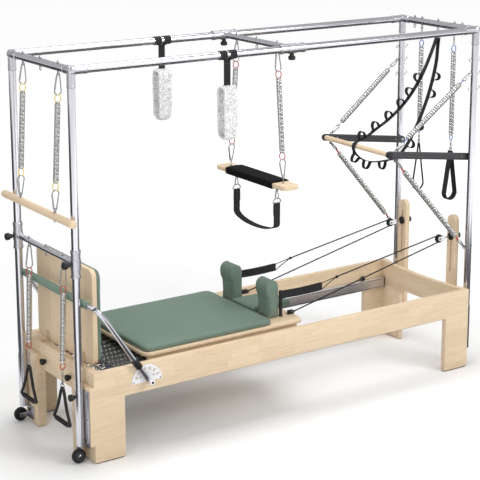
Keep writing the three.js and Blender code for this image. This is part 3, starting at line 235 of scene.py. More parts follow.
class Shape:
    """Collects the surfaces of one piece, each with its own finish."""

    def __init__(self):
        self.mesh = bmesh.new()
        self.along = self.mesh.loops.layers.uv.new("along")
        self.finishes = []

    def number(self, finish):
        if finish not in self.finishes:
            self.finishes.append(finish)
        return self.finishes.index(finish)

    def to_data(self, name):
        """Turns the surfaces into mesh data."""
        data = bpy.data.meshes.new(name)
        self.mesh.to_mesh(data)
        self.mesh.free()
        return data

    def skin(self, rings, finish, lids=True, closed=False):
        """Joins rings of points into a skin, with the run in metres as its map."""
        number = self.number(finish)
        rows = [[self.mesh.verts.new(p) for p in ring] for ring in rings]
        runs = [0.0]
        spans = len(rings) if closed else len(rings) - 1
        for k in range(spans):
            after = rings[(k + 1) % len(rings)]
            runs.append(runs[-1] + sum((after[j] - rings[k][j]).length for j in range(len(after))) / len(after))
        count = len(rings[0])
        girth = [0.0]
        widest = max(rings, key=lambda ring: (ring[0] - ring[count // 2]).length)
        for j in range(count):
            girth.append(girth[-1] + (widest[(j + 1) % count] - widest[j]).length)
        for k in range(spans):
            first, second = rows[k], rows[(k + 1) % len(rows)]
            for j in range(count):
                n = (j + 1) % count
                face = self.mesh.faces.new((first[j], first[n], second[n], second[j]))
                face.material_index = number
                places = ((runs[k], girth[j]), (runs[k], girth[j + 1]),
                          (runs[k + 1], girth[j + 1]), (runs[k + 1], girth[j]))
                for loop, place in zip(face.loops, places):
                    loop[self.along].uv = place
        if lids and not closed:
            for row in (rows[0], rows[-1]):
                self.mesh.faces.new(row).material_index = number

    def sweep(self, points, section, finish, closed=False, first=None, scale=None):
        """Carries a section along a path."""
        rings = []
        for k, (across, up) in enumerate(frames_along(points, closed, first)):
            size = scale[k] if scale else 1.0
            rings.append([points[k] + across * (u * size) + up * (v * size) for u, v in section])
        self.skin(rings, finish, closed=closed)

    def cord(self, points, radius, sides, finish, first=None, steps=0, closed=False):
        """A round cord or wire along a path, which is smoothed where it has steps."""
        points = smooth_path(points, steps, closed) if steps else points
        self.sweep(points, circle_section(radius, sides), finish, closed, first)

    def strap(self, points, width, thickness, first, steps=0, closed=False, finish="webbing"):
        """A flat strap along a path, which is smoothed where it has steps."""
        points = smooth_path(points, steps, closed) if steps else points
        self.sweep(points, strap_section(width, thickness), finish, closed, first)

    def stitches(self, points, first):
        self.cord(points, 0.0006, 6, "graphite", first)

    def turned(self, start, direction, profile, finish, sides=28, lids=True, closed=False):
        """A turned form: a profile of (run, radius) from a start along a direction."""
        direction = direction.normalized()
        across = square_to(direction)
        up = direction.cross(across)
        rings = [[start + direction * run + across * u + up * v for u, v in circle_section(radius, sides)]
                 for run, radius in profile]
        self.skin(rings, finish, lids, closed)

    def lathe(self, start, direction, profile, finish, sides=28, lids=True):
        """A turned form whose profile is in millimetres."""
        self.turned(start, direction, [(run / 1000, radius / 1000) for run, radius in profile], finish, sides, lids)

    def rod(self, start, end, radius, finish="chrome", sides=24, ease=0.0008):
        """A round bar with eased ends."""
        run = (end - start).length
        self.turned(start, end - start,
                    [(0, radius - ease), (ease, radius), (run - ease, radius), (run, radius - ease)], finish, sides)

    def pipe(self, start, end, outer, inner, finish, sides=40):
        """A tube with a wall, open at both ends."""
        run = (end - start).length
        ease = min(0.0008, (outer - inner) / 3)
        profile = [(0, inner), (0, outer - ease), (ease, outer),
                   (run - ease, outer), (run, outer - ease), (run, inner)]
        self.turned(start, end - start, profile, finish, sides, closed=True)

    def ring(self, centre, normal, radius, wire, finish="chrome", steps=24, sides=8, stretch=None):
        """A ring of wire across a normal; stretch pulls its halves apart along a vector."""
        across = square_to(normal, stretch.normalized() if stretch else None)
        up = normal.cross(across).normalized()
        points = []
        for k in range(steps):
            angle = math.tau * (k + 0.5) / steps
            point = centre + across * (radius * math.cos(angle)) + up * (radius * math.sin(angle))
            if stretch:
                point += stretch * (0.5 if math.cos(angle) > 0 else -0.5)
            points.append(point)
        self.cord(points, wire, sides, finish, normal, closed=True)

    def box(self, low, high, finish, ease=0.0012, segments=2):
        """A block with eased edges."""
        temporary = bmesh.new()
        bmesh.ops.create_cube(temporary, size=1)
        middle = (Vector(low) + Vector(high)) / 2
        size = Vector([abs(b - a) for a, b in zip(low, high)])
        bmesh.ops.scale(temporary, vec=size, verts=temporary.verts)
        bmesh.ops.bevel(temporary, geom=temporary.edges[:], offset=min(ease, min(size) / 2.2), segments=segments,
                        profile=0.5, affect="EDGES")
        bmesh.ops.translate(temporary, vec=middle, verts=temporary.verts)
        self.absorb(temporary, finish)

    def absorb(self, other, finish, matrix=None):
        """Takes in another bmesh, with one finish for all of it."""
        number = self.number(finish)
        if matrix:
            other.transform(matrix)
        made = {vertex: self.mesh.verts.new(vertex.co) for vertex in other.verts}
        for face in other.faces:
            self.mesh.faces.new([made[v] for v in face.verts]).material_index = number
        other.free()

    def take(self, mesh, finish, matrix=None):
        """Takes in a mesh data block, then deletes it."""
        other = bmesh.new()
        other.from_mesh(mesh)
        bpy.data.meshes.remove(mesh)
        self.absorb(other, finish, matrix)

    def plate(self, outline, thickness, finish, matrix, ease=0.002, holes=()):
        """A cut plate: its outline and holes lie in the matrix's first two axes, its thickness along the third."""
        curve = bpy.data.curves.new("plate", "CURVE")
        curve.dimensions = "2D"
        curve.fill_mode = "BOTH"
        curve.extrude = thickness / 2 - ease
        curve.bevel_depth = ease
        curve.bevel_resolution = 1
        curve.offset = -ease
        for loop in [outline, *holes]:
            spline = curve.splines.new("POLY")
            spline.points.add(len(loop) - 1)
            spline.use_cyclic_u = True
            for point, (u, v) in zip(spline.points, loop):
                point.co = (u, v, 0, 1)
        holder = new_object("plate", curve)
        mesh = plain_mesh(holder)
        bpy.data.objects.remove(holder)
        bpy.data.curves.remove(curve)
        self.take(mesh, finish, matrix)


def make_piece(shape, name, body, node, sharp=38):
    """Turns a shape into an object that stands for a node and rides on a body, or on none if no body is given."""
    mesh = shape.mesh
    bmesh.ops.remove_doubles(mesh, verts=mesh.verts, dist=0.000005)
    bmesh.ops.recalc_face_normals(mesh, faces=mesh.faces)
    for face in mesh.faces:
        face.smooth = True
    for edge in mesh.edges:
        if len(edge.link_faces) == 2 and edge.calc_face_angle() > math.radians(sharp):
            edge.smooth = False
    data = shape.to_data(name)
    for finish in shape.finishes:
        data.materials.append(material(finish))
    piece = new_object(name, data)
    if body:
        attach(piece, body)
    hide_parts(node)
    return piece


# Node trees: what finishes and geometry trees share
class NodeTree:
    """A node tree under construction."""

    def join(self, value, socket):
        """Links a socket to another one or gives it a value; a colour gets its alpha."""
        if isinstance(value, bpy.types.NodeSocket):
            self.tree.links.new(value, socket)
        elif socket.type == "RGBA" and len(value) == 3:
            socket.default_value = (*value, 1)
        else:
            socket.default_value = value

    def node(self, kind, values=None, **options):
        made = self.tree.nodes.new(kind)
        for key, value in options.items():
            setattr(made, key, value)
        for key, value in (values or {}).items():
            self.join(value, made.inputs[key])
        return made

    def vector(self, first, second, operation="MULTIPLY"):
        return self.node("ShaderNodeVectorMath", {0: first, 1: second}, operation=operation).outputs[0]


# Finishes: each maker fills in one node material
class Finish(NodeTree):
    """A material under construction: its nodes, links and shader."""

    SOCKETS = {"colour": "Base Color", "metal": "Metallic", "rough": "Roughness", "coat": "Coat Weight",
               "coat_rough": "Coat Roughness", "sheen": "Sheen Weight", "sheen_rough": "Sheen Roughness",
               "specular": "Specular IOR Level"}

    def __init__(self, name):
        self.material = bpy.data.materials.new(name)
        self.material.use_nodes = True
        self.tree = self.material.node_tree
        self.shader = self.tree.nodes["Principled BSDF"]

    def source(self, coordinate="Object"):
        return self.node("ShaderNodeTexCoord").outputs[coordinate]

    def place(self, scale=(1, 1, 1), coordinate="Object"):
        source = self.source(coordinate)
        return self.node("ShaderNodeMapping", {"Vector": source, "Scale": scale}).outputs["Vector"]

    def mix(self, factor, first, second):
        return self.node("ShaderNodeMix", {0: factor, 6: first, 7: second}, data_type="RGBA").outputs[2]

    def sum(self, first, second, operation="ADD"):
        return self.node("ShaderNodeMath", {0: first, 1: second}, operation=operation).outputs[0]

    def ramp(self, factor, low, high, start=0.0, end=1.0):
        return self.node("ShaderNodeMapRange", {"Value": factor, "From Min": start, "From Max": end,
                                                "To Min": low, "To Max": high}).outputs[0]

    def noise(self, place, scale, detail=3.0, roughness=0.5, distortion=0.0):
        return self.node("ShaderNodeTexNoise", {"Vector": place, "Scale": scale, "Detail": detail,
                                                "Roughness": roughness, "Distortion": distortion}).outputs["Fac"]

    def grain(self, scale, detail=2.0, roughness=0.5):
        """Noise whose scale may differ along each axis."""
        scale = scale if isinstance(scale, tuple) else (scale,) * 3
        return self.noise(self.place(scale), 1.0, detail, roughness)

    def strands(self, turns, values):
        """Two waves along the run of a strap or cord, one for each turn."""
        place = self.place(coordinate="UV")
        waves = []
        for turn in turns:
            turned = self.node("ShaderNodeMapping", {"Vector": place, "Rotation": (0, 0, math.radians(turn))})
            waves.append(self.node("ShaderNodeTexWave", {"Vector": turned.outputs[0], **values},
                                   bands_direction="X").outputs["Fac"])
        return waves

    def blotch(self, pattern, most, start, end, colour, share):
        """A colour that a pattern turns part of the way to a shade of its own."""
        return self.mix(self.ramp(pattern, 0.0, most, start, end), colour, shade(colour, share))

    def bump(self, height, distance, strength=1.0):
        made = self.node("ShaderNodeBump", {"Height": height, "Distance": distance, "Strength": strength})
        self.join(made.outputs["Normal"], self.shader.inputs["Normal"])

    def feed(self, **values):
        for key, value in values.items():
            self.join(value, self.shader.inputs[self.SOCKETS[key]])


def shade(colour, share, more=0.0):
    """A colour made darker or lighter."""
    return tuple(min(1.0, part * share + more) for part in colour)


def wood(look, along, block=0.21, row=0.048):
    """Finger-jointed maple: rows of short blocks, each of its own tone, with fine grain."""
    colours = settings("finishes")
    light, dark = tuple(colours.wood_light), tuple(colours.wood_dark)
    parts = look.node("ShaderNodeSeparateXYZ", {"Vector": look.source()}).outputs
    long, first, second = {"x": (0, 1, 2), "y": (1, 0, 2), "z": (2, 0, 1)}[along]
    across = look.sum(parts[first], parts[second])
    flat = look.node("ShaderNodeCombineXYZ", {"X": parts[long], "Y": across, "Z": 0.0}).outputs[0]
    bricks = look.node("ShaderNodeTexBrick", {
        "Vector": flat, "Color1": (0, 0, 0, 1), "Color2": (1, 1, 1, 1), "Mortar": (0.5, 0.5, 0.5, 1), "Scale": 1.0,
        "Mortar Size": 0.0003, "Mortar Smooth": 0.3, "Bias": 0.0, "Brick Width": block, "Row Height": row},
        offset=0.37, offset_frequency=2, squash=0.8, squash_frequency=3)
    shifted = look.vector(look.vector(flat, (3.0, 60.0, 1.0)), bricks.outputs["Color"], "ADD")
    grain = look.noise(shifted, 3.0, 6.0, 0.62, 0.6)
    fibre = look.noise(look.vector(flat, (14.0, 900.0, 1.0)), 1.0, 3.0, 0.6)
    softened = look.mix(0.45, light, look.mix(bricks.outputs["Color"], light, dark))
    veined = look.mix(look.ramp(grain, 0.0, 0.55, 0.42, 0.72), softened, shade(dark, 0.86))
    lifted = look.mix(look.ramp(fibre, 0.0, 0.35, 0.45, 0.75), veined, shade(light, 1.10))
    jointed = look.mix(look.ramp(bricks.outputs["Fac"], 0.0, 0.35), lifted, shade(dark, 0.55))
    look.feed(colour=jointed, rough=look.ramp(grain, 0.38, 0.52), coat=0.12, coat_rough=0.3)
    look.bump(look.sum(fibre, bricks.outputs["Fac"], "SUBTRACT"), 0.00008)


def dowel(look):
    """Turned maple with straight grain along a bar."""
    colours = settings("finishes")
    light, dark = tuple(colours.wood_light), tuple(colours.wood_dark)
    grain = look.noise(look.place((160, 2.4, 160)), 1.0, 6.0, 0.6, 0.4)
    cloud = look.grain((9, 3, 9))
    tone = look.mix(look.ramp(cloud, 0.0, 0.5, 0.35, 0.7), light, dark)
    look.feed(colour=look.mix(look.ramp(grain, 0.0, 0.6, 0.45, 0.75), tone, shade(dark, 0.72)),
              rough=look.ramp(grain, 0.36, 0.5), coat=0.15, coat_rough=0.3)
    look.bump(grain, 0.00006)


def tube(look, along="z", tint=1.0, rough=0.13):
    """Polished aluminium with fine draw lines along the tube."""
    lines = look.grain({"x": (2, 900, 900), "y": (900, 2, 900), "z": (900, 900, 2)}[along])
    cloud = look.grain(6)
    metal = shade(settings("finishes").metal, tint)
    look.feed(colour=look.blotch(cloud, 0.4, 0.35, 0.65, metal, 0.86), metal=1.0,
              rough=look.ramp(lines, rough - 0.04, rough + 0.06))
    look.bump(lines, 0.00002, 0.4)


def steel(look, colour, rough):
    """Bright plated steel with handling marks."""
    marks = look.grain(260, 4.0, 0.6)
    look.feed(colour=look.blotch(marks, 0.5, 0.4, 0.8, colour, 0.8), metal=1.0,
              rough=look.ramp(marks, rough - 0.05, rough + 0.12))
    look.bump(marks, 0.00002, 0.3)


def paint(look, colour, rough, coat=0.0, metal=0.0, depth=0.00003):
    """A coat of paint or moulded plastic with a fine skin."""
    skin = look.grain(1400)
    cloud = look.grain(25, 3.0)
    look.feed(colour=look.blotch(cloud, 0.5, 0.35, 0.7, colour, 0.84), metal=metal,
              rough=look.ramp(skin, rough - 0.06, rough + 0.10), coat=coat, coat_rough=0.2)
    look.bump(skin, depth, 0.5)


def vinyl(look):
    """Sage upholstery vinyl with a leather grain."""
    place = look.place()
    grain = look.node("ShaderNodeTexVoronoi", {"Vector": place, "Scale": 620.0, "Randomness": 1.0},
                      feature="DISTANCE_TO_EDGE").outputs["Distance"]
    pores = look.noise(place, 1500.0, 2.0)
    cloud = look.noise(place, 7.0, 3.0)
    colour = tuple(settings("finishes").vinyl)
    clouded = look.blotch(cloud, 0.6, 0.35, 0.7, colour, 0.88)
    # The creases of the grain are painted darker where the bump sinks: painted shade in the creases
    crease_shaded = look.mix(look.ramp(grain, 0.35, 0.0, 0.0, 0.12), clouded, shade(colour, 0.7))
    look.feed(colour=crease_shaded, rough=look.ramp(pores, 0.44, 0.60), specular=0.2)
    look.bump(look.sum(look.ramp(grain, 0.0, 1.0, 0.0, 0.10), look.ramp(pores, 0.0, 0.25)), 0.00010, 0.7)


def foam(look):
    """Closed foam of the grip, in the colour of the pads, with fine cells."""
    colour = shade(settings("finishes").vinyl, 1.12)
    place = look.place()
    cells = look.noise(place, 1100.0, 3.0, 0.7)
    cloud = look.noise(place, 14.0, 3.0)
    clouded = look.blotch(cloud, 0.6, 0.35, 0.7, colour, 0.86)
    look.feed(colour=look.mix(look.ramp(cells, 0.0, 0.4, 0.5, 0.8), clouded, shade(colour, 0.7)),
              rough=look.ramp(cells, 0.62, 0.82), specular=0.2)
    look.bump(cells, 0.00025, 0.7)


def webbing(look):
    """Woven strap: diagonal ribs that follow the strap's own run."""
    colour = tuple(settings("finishes").webbing)
    rib = 0.0022
    weave = look.sum(*look.strands((38, -38), {"Scale": 0.16 / rib, "Distortion": 0.4, "Detail": 1.0}), "MULTIPLY")
    fuzz = look.noise(look.place(), 900.0, 3.0)
    # The raised ribs of the weave are painted lighter, broken up by the fuzz: a painted highlight
    rib_highlight = look.sum(weave, look.ramp(fuzz, 0.0, 0.4), "MULTIPLY")
    look.feed(colour=look.mix(rib_highlight, colour, shade(colour, 2.4, 0.01)),
              rough=look.ramp(fuzz, 0.78, 0.95), sheen=0.02, sheen_rough=0.5, specular=0.12)
    look.bump(weave, 0.0004, 0.8)


def rope(look):
    """Braided cover of a cord: crossing strands along its run."""
    braid = look.sum(*look.strands((32, -32), {"Scale": 70.0, "Distortion": 0.2}), "MAXIMUM")
    fuzz = look.noise(look.place(), 700.0, 2.0)
    # The raised strands of the braid are painted lighter than the gaps between them, broken up by the fuzz: painted
    # highlight on the strands, painted shade in the gaps
    look.feed(colour=look.mix(look.sum(braid, look.ramp(fuzz, 0.5, 1.0), "MULTIPLY"),
                              (0.008, 0.008, 0.009), (0.042, 0.042, 0.045)), rough=0.85, specular=0.15)
    look.bump(braid, 0.0005, 0.7)


def fleece(look):
    """White pile, soft at its edges."""
    curls = look.noise(look.place(), 160.0, 4.0, 0.6)
    look.feed(colour=look.blotch(curls, 0.5, 0.35, 0.65, tuple(settings("finishes").fleece), 0.94),
              rough=0.95, sheen=0.3, sheen_rough=0.6, specular=0.1)
    look.bump(curls, 0.0012, 0.6)


def padded_cover(look):
    """Black quilted cover of the trapeze seat."""
    grain = look.grain(320, 3.0)
    look.feed(colour=look.mix(look.ramp(grain, 0.0, 1.0, 0.4, 0.7), (0.003, 0.003, 0.004), (0.009, 0.009, 0.010)),
              rough=0.75, specular=0.1)
    look.bump(grain, 0.0003, 0.6)


def plain_floor(look):
    """A plain floor that glows more and more away from the table."""
    cloud = look.noise(look.place(), 2.0, 2.0)
    look.feed(colour=look.blotch(cloud, 0.2, 0.3, 0.7, tuple(settings("stage").floor_colour), 0.985),
              rough=0.75, specular=0.1)
    reach = look.node("ShaderNodeVectorMath", {0: look.place()}, operation="LENGTH").outputs["Value"]
    look.join((1, 1, 1), look.shader.inputs["Emission Color"])
    glow = look.ramp(reach, 0.0, settings("stage").backdrop_glow, 1.8, 6.0)
    look.join(glow, look.shader.inputs["Emission Strength"])


FINISHES = {
    "wood_x": (wood, "x"),
    "wood_y": (wood, "y"),
    "wood_z": (wood, "z"),
    "wood_board": (wood, "z", 0.9, 0.062),
    "dowel": (dowel,),
    "tube_x": (tube, "x"),
    "tube_y": (tube, "y"),
    "tube_z": (tube, "z"),
    "fitting": (tube, "z", 0.86, 0.30),
    "track": (tube, "x", 1.1, 0.36),
    "steel": (steel, (0.74, 0.74, 0.73), 0.20),
    "dark_steel": (steel, (0.19, 0.19, 0.185), 0.34),
    "chrome": (steel, (0.42, 0.42, 0.43), 0.18),
    "hook_paint": (paint, (0.56, 0.42, 0.27), 0.5),
    "black": (paint, (0.010, 0.010, 0.011), 0.45),
    # Matte black cups stand in for the shade inside the index holes: painted shade
    "hole_shade": (paint, (0.010, 0.010, 0.012), 0.8),
    "graphite": (paint, (0.060, 0.060, 0.066), 0.52, 0.0, 0.3),
    "rubber": (paint, (0.010, 0.010, 0.011), 0.72, 0.0, 0.0, 0.0001),
    "white_plate": (paint, (0.84, 0.84, 0.87), 0.35),
    "red": (paint, (0.50, 0.030, 0.025), 0.38, 0.3),
    "blue": (paint, (0.030, 0.10, 0.50), 0.38, 0.3),
    "yellow": (paint, (0.74, 0.60, 0.05), 0.38, 0.3),
    "plain": (paint, (0.40, 0.40, 0.42), 0.38, 0.3),
    "vinyl": (vinyl,),
    "foam": (foam,),
    "webbing": (webbing,),
    "rope": (rope,),
    "fleece": (fleece,),
    "padded_cover": (padded_cover,),
    "floor": (plain_floor,),
}


def material(finish):
    """The material of a finish, made at its first use."""
    name = finish + "_finish"
    if name not in bpy.data.materials:
        maker, *values = FINISHES[finish]
        maker(Finish(name), *values)
    return bpy.data.materials[name]


# Geometry node trees for what repeats
class Tree(NodeTree):
    """A geometry node tree with named inputs."""

    def __init__(self, name, inputs):
        self.tree = bpy.data.node_groups.new(name, "GeometryNodeTree")
        face = self.tree.interface
        face.new_socket("Geometry", in_out="INPUT", socket_type="NodeSocketGeometry")
        for title, kind, value in (*inputs, ("Material", "Material", None)):
            socket = face.new_socket(title, in_out="INPUT", socket_type="NodeSocket" + kind)
            if value is not None:
                socket.default_value = value
        face.new_socket("Geometry", in_out="OUTPUT", socket_type="NodeSocketGeometry")
        self.inputs = self.node("NodeGroupInput").outputs

    def end(self, geometry):
        realized = self.node("GeometryNodeRealizeInstances", {"Geometry": geometry}).outputs[0]
        dressed = self.node("GeometryNodeSetMaterial", {"Geometry": realized, "Material": self.inputs["Material"]})
        self.node("NodeGroupOutput", {0: dressed.outputs[0]})


def coil_tree(name):
    """A coil along Z: turns, radii at both ends, length and wire."""
    tree = Tree(name, [("Turns", "Float", 10.0), ("First Radius", "Float", 0.01), ("Last Radius", "Float", 0.01),
                       ("Length", "Float", 0.1), ("Wire", "Float", 0.002),
                       ("Steps", "Int", 12), ("Sides", "Int", 5)])
    inputs = tree.inputs
    spiral = tree.node("GeometryNodeCurveSpiral", {
        "Resolution": inputs["Steps"], "Rotations": inputs["Turns"], "Start Radius": inputs["First Radius"],
        "End Radius": inputs["Last Radius"], "Height": inputs["Length"]})
    section = tree.node("GeometryNodeCurvePrimitiveCircle", {
        "Resolution": inputs["Sides"], "Radius": inputs["Wire"]})
    skin = tree.node("GeometryNodeCurveToMesh", {
        "Curve": spiral.outputs[0], "Profile Curve": section.outputs[0], "Fill Caps": True})
    tree.end(skin.outputs[0])


def set_out_tree(name):
    """Copies of one piece at the points of a mesh, each turned by its own turn attribute."""
    tree = Tree(name, [("Piece", "Object", None), ("Size", "Float", 1.0)])
    piece = tree.node("GeometryNodeObjectInfo", {"Object": tree.inputs["Piece"], "As Instance": True})
    turn = tree.node("GeometryNodeInputNamedAttribute", {"Name": "turn"}, data_type="FLOAT_VECTOR")
    size = tree.node("ShaderNodeCombineXYZ", {axis: tree.inputs["Size"] for axis in "XYZ"})
    copies = tree.node("GeometryNodeInstanceOnPoints", {
        "Points": tree.inputs["Geometry"], "Instance": piece.outputs["Geometry"],
        "Rotation": turn.outputs["Attribute"], "Scale": size.outputs[0]})
    tree.end(copies.outputs[0])


def pile_tree(name):
    """Tufts of pile over the faces of a mesh, with a fixed seed."""
    tree = Tree(name, [("Tuft", "Object", None), ("Density", "Float", 60000.0), ("Least", "Float", 0.6),
                       ("Most", "Float", 1.3), ("Lean", "Float", 0.9), ("Seed", "Int", 7)])
    inputs = tree.inputs
    spread = tree.node("GeometryNodeDistributePointsOnFaces", {
        "Mesh": inputs["Geometry"], "Density": inputs["Density"], "Seed": inputs["Seed"]})
    tuft = tree.node("GeometryNodeObjectInfo", {"Object": inputs["Tuft"], "As Instance": True})
    lean = tree.vector(inputs["Lean"], (1.0, 1.0, 3.0))
    back = tree.vector(lean, (-1.0, -1.0, -1.0))
    wobble = tree.node("FunctionNodeRandomValue", {"Seed": inputs["Seed"], 0: back, 1: lean},
                       data_type="FLOAT_VECTOR")
    turned = tree.node("FunctionNodeRotateEuler", {"Rotation": spread.outputs["Rotation"],
                                                   "Rotate By": wobble.outputs[0]}, space="LOCAL")
    size = tree.node("FunctionNodeRandomValue", {"Seed": inputs["Seed"], 2: inputs["Least"], 3: inputs["Most"]},
                     data_type="FLOAT")
    copies = tree.node("GeometryNodeInstanceOnPoints", {
        "Points": spread.outputs["Points"], "Instance": tuft.outputs["Geometry"],
        "Rotation": turned.outputs[0], "Scale": size.outputs[1]})
    joined = tree.node("GeometryNodeJoinGeometry", {0: inputs["Geometry"]})
    tree.join(copies.outputs[0], joined.inputs[0])
    tree.end(joined.outputs[0])


TREES = {"wound_coil": coil_tree, "set_out_copies": set_out_tree, "fleece_pile": pile_tree}


def plain_mesh(holder):
    """The mesh that an object's modifiers make."""
    graph = bpy.context.evaluated_depsgraph_get()
    graph.update()
    return bpy.data.meshes.new_from_object(holder.evaluated_get(graph))


def new_object(name, data):
    """A new object in the scene."""
    made = bpy.data.objects.new(name, data)
    bpy.context.scene.collection.objects.link(made)
    return made


def run_tree(name, finish, values, mesh=None):
    """Runs a tree on a mesh and gives back the plain mesh that it makes."""
    if name not in bpy.data.node_groups:
        TREES[name](name)
    group = bpy.data.node_groups[name]
    holder = new_object("holder", mesh or bpy.data.meshes.new("holder"))
    modifier = holder.modifiers.new("nodes", "NODES")
    modifier.node_group = group
    sockets = {item.name: item.identifier for item in group.interface.items_tree
               if item.item_type == "SOCKET" and item.in_out == "INPUT"}
    for title, value in {**values, "Material": material(finish)}.items():
        modifier[sockets[title]] = value
    made = plain_mesh(holder)
    old = holder.data
    bpy.data.objects.remove(holder)
    bpy.data.meshes.remove(old)
    return made


def turn_to(direction, spin=X_AXIS):
    """The matrix that carries Z to a direction, and X as near as can be to a second one."""
    up = direction.normalized()
    across = spin - up * spin.dot(up)
    if across.length < 0.001:
        across = Y_AXIS - up * Y_AXIS.dot(up)
    across.normalize()
    return axes(across, up.cross(across), up)


def axes(first, second, third, origin=ORIGIN):
    """The matrix that carries X, Y and Z to three directions, and the origin to a place."""
    return Matrix.Translation(origin) @ Matrix((first, second, third)).transposed().to_4x4()


def pattern(name, build):
    """An object of a small part that the trees copy; it is deleted at the end."""
    name += "_pattern"
    if name not in bpy.data.objects:
        shape = Shape()
        build(shape)
        bmesh.ops.recalc_face_normals(shape.mesh, faces=shape.mesh.faces)
        new_object(name, shape.to_data(name))
    return bpy.data.objects[name]


# Turned small parts: name, sides, depth of the first ring below the seat, and profile, in millimetres
SCREW = ("screw_head", 12, 0.6, [(0, 4.2), (0.9, 4.2), (1.9, 3.3), (2.4, 1.8), (1.2, 1.4), (1.1, 0.3)])
INDEX_HOLE = ("index_hole", 12, 2, [(0, 3.2), (1.9, 3.2), (2.2, 2.8), (1.2, 2)])
NUT = ("hex_nut", 6, 0, [(0, 9.5), (1.2, 9.5), (1.2, 6.6), (8, 6.6), (9, 6), (9.2, 3.2), (12.5, 3.2), (13, 2.6)])


def set_out(shape, part, places, finish="chrome", size=1.0):
    """Sets copies of a turned small part out at places of (point, direction)."""
    name, sides, depth, profile = part
    piece = pattern(name, lambda small: small.lathe(Z_AXIS * (-depth / 1000), Z_AXIS, profile, finish, sides))
    mesh = bpy.data.meshes.new("places")
    mesh.from_pydata([point for point, _ in places], [], [])
    turns = mesh.attributes.new("turn", "FLOAT_VECTOR", "POINT")
    for turn, (_, direction) in zip(turns.data, places):
        turn.vector = turn_to(direction).to_euler()
    shape.take(run_tree("set_out_copies", finish, {"Piece": piece, "Size": size}, mesh), finish)


# Springs, clips and eyes
def clip(shape, start, end, across, wire=0.0030):
    """A pear-shaped snap hook, narrow at its start and wide at its end, flat across a direction."""
    length = (end - start).length
    along = (end - start).normalized()
    across = square_to(along, across)
    large = min(0.0205, length * 0.27) - wire
    small = large * 0.44
    points = [start + along * u + across * v
              for u, v in arc(small, 90, 270, 8, (small, 0)) + arc(large, -90, 90, 12, (length - large, 0))]
    shape.cord(points, wire, 10, "chrome", along.cross(across), 3, closed=True)
    low = start + along * (small * 1.6) - across * (small * 1.06)
    gate = start + along * (length - large * 1.15) - across * (large * 0.99) - low
    thick, run = wire * 1.35, gate.length
    shape.turned(low, gate, [(0, wire), (0.001, thick), (run - 0.001, thick), (run, wire)], "chrome", 12)
    small, large = wire * 1.2, wire * 1.6
    for share in (0.10, 0.90):
        shape.turned(low + gate * share - gate.normalized() * 0.002, gate,
                     [(0, small), (0.0004, large), (0.0036, large), (0.004, small)], "chrome", 12)


def coil(shape, start, end, first_radius, last_radius, turns, wire, finish="steel", steps=12, sides=5):
    run = end - start
    mesh = run_tree("wound_coil", finish, {
        "Turns": float(turns), "First Radius": first_radius, "Last Radius": last_radius, "Length": run.length,
        "Wire": wire, "Steps": steps, "Sides": sides})
    shape.take(mesh, finish, Matrix.Translation(start) @ turn_to(run))


def swivel(shape, start, end, across):
    """A small bow, a barrel and a ring, one under another, between two points."""
    along = (end - start).normalized()
    length = (end - start).length
    across = square_to(along, across)
    bow = length * 0.44
    ring = length - bow - 0.006
    shape.ring(start + along * (bow / 2), across, 0.0052, 0.0019, steps=16, stretch=along * (bow - 0.0142))
    shape.lathe(start + along * (bow - 0.003), along, [(0, 2), (0.8, 4.4), (6, 5.2), (10, 4.4), (10.8, 2)],
                "chrome", 16)
    shape.ring(end - along * (ring / 2), along.cross(across), 0.0056, 0.0019, steps=16,
               stretch=along * max(ring - 0.0150, 0.0005))


def spring(shape, start, end, body_start, body_end, colours, across, last="clip", first="clip"):
    """A tension spring between two eyes: clips or a swivel, coloured end loops and the wound body."""
    size = settings("springs")
    along = (end - start).normalized()
    length = (end - start).length
    inset = EYE - EYE_WIRE - 0.0028
    radius, wire = size.coil_radius, size.wire_radius
    shoulder = size.pitch * 2
    turns = (body_end - body_start - 2 * shoulder) / size.pitch

    def point(run):
        return start + along * run

    coil(shape, point(body_start + shoulder), point(body_end - shoulder), radius, radius, round(turns), wire)
    ends = ((inset, body_start, 1, colours[0], first), (length - inset, body_end, -1, colours[-1], last))
    for eye_run, body_run, way, colour, fitting in ends:
        loop = min(size.loop_length, abs(body_run - eye_run) * 0.34)
        clip_end = body_run - way * (loop - 0.004)
        wide = min(0.0135 if fitting == "clip" else 0.0160, loop / 2 - 0.0025)
        flat = along.cross(across) + across * (0 if fitting == "swivel" else -0.7)
        if fitting == "clip":
            clip(shape, point(eye_run - way * 0.0045), point(clip_end), across)
        else:
            swivel(shape, point(clip_end), point(eye_run - way * 0.004), flat)
        middle = point(body_run - way * (loop / 2 - 0.003))
        shape.ring(middle, square_to(along, flat), wide, wire * 1.5, colour, 28, 10,
                   along * max(loop - 2 * wide, 0.0003))
        coil(shape, point(body_run), point(body_run + way * shoulder), radius * 0.45, radius, 2.5, wire, steps=16)


def hung_spring(name, node, start, end, body_start, body_end, colours, across, *fittings):
    """A spring that stands for its node."""
    shape = Shape()
    spring(shape, start, end, body_start, body_end, colours, across, *fittings)
    return make_piece(shape, name, None, node)


def eye_bolt(shape, centre, stem_end, across=Y_AXIS):
    """An eye ring in the plane of its stem and a side direction, with its collar and its stem."""
    along = (stem_end - centre).normalized()
    shape.ring(centre, along.cross(across).normalized(), EYE, EYE_WIRE)
    shape.rod(centre + along * (EYE - 0.001), stem_end, EYE_WIRE, "chrome", 10, 0.0003)
    shape.lathe(centre + along * (EYE + 0.0005), along, [(0, 3), (0.6, 4.6), (1.6, 4.6), (2.2, 3)], "chrome", 12)


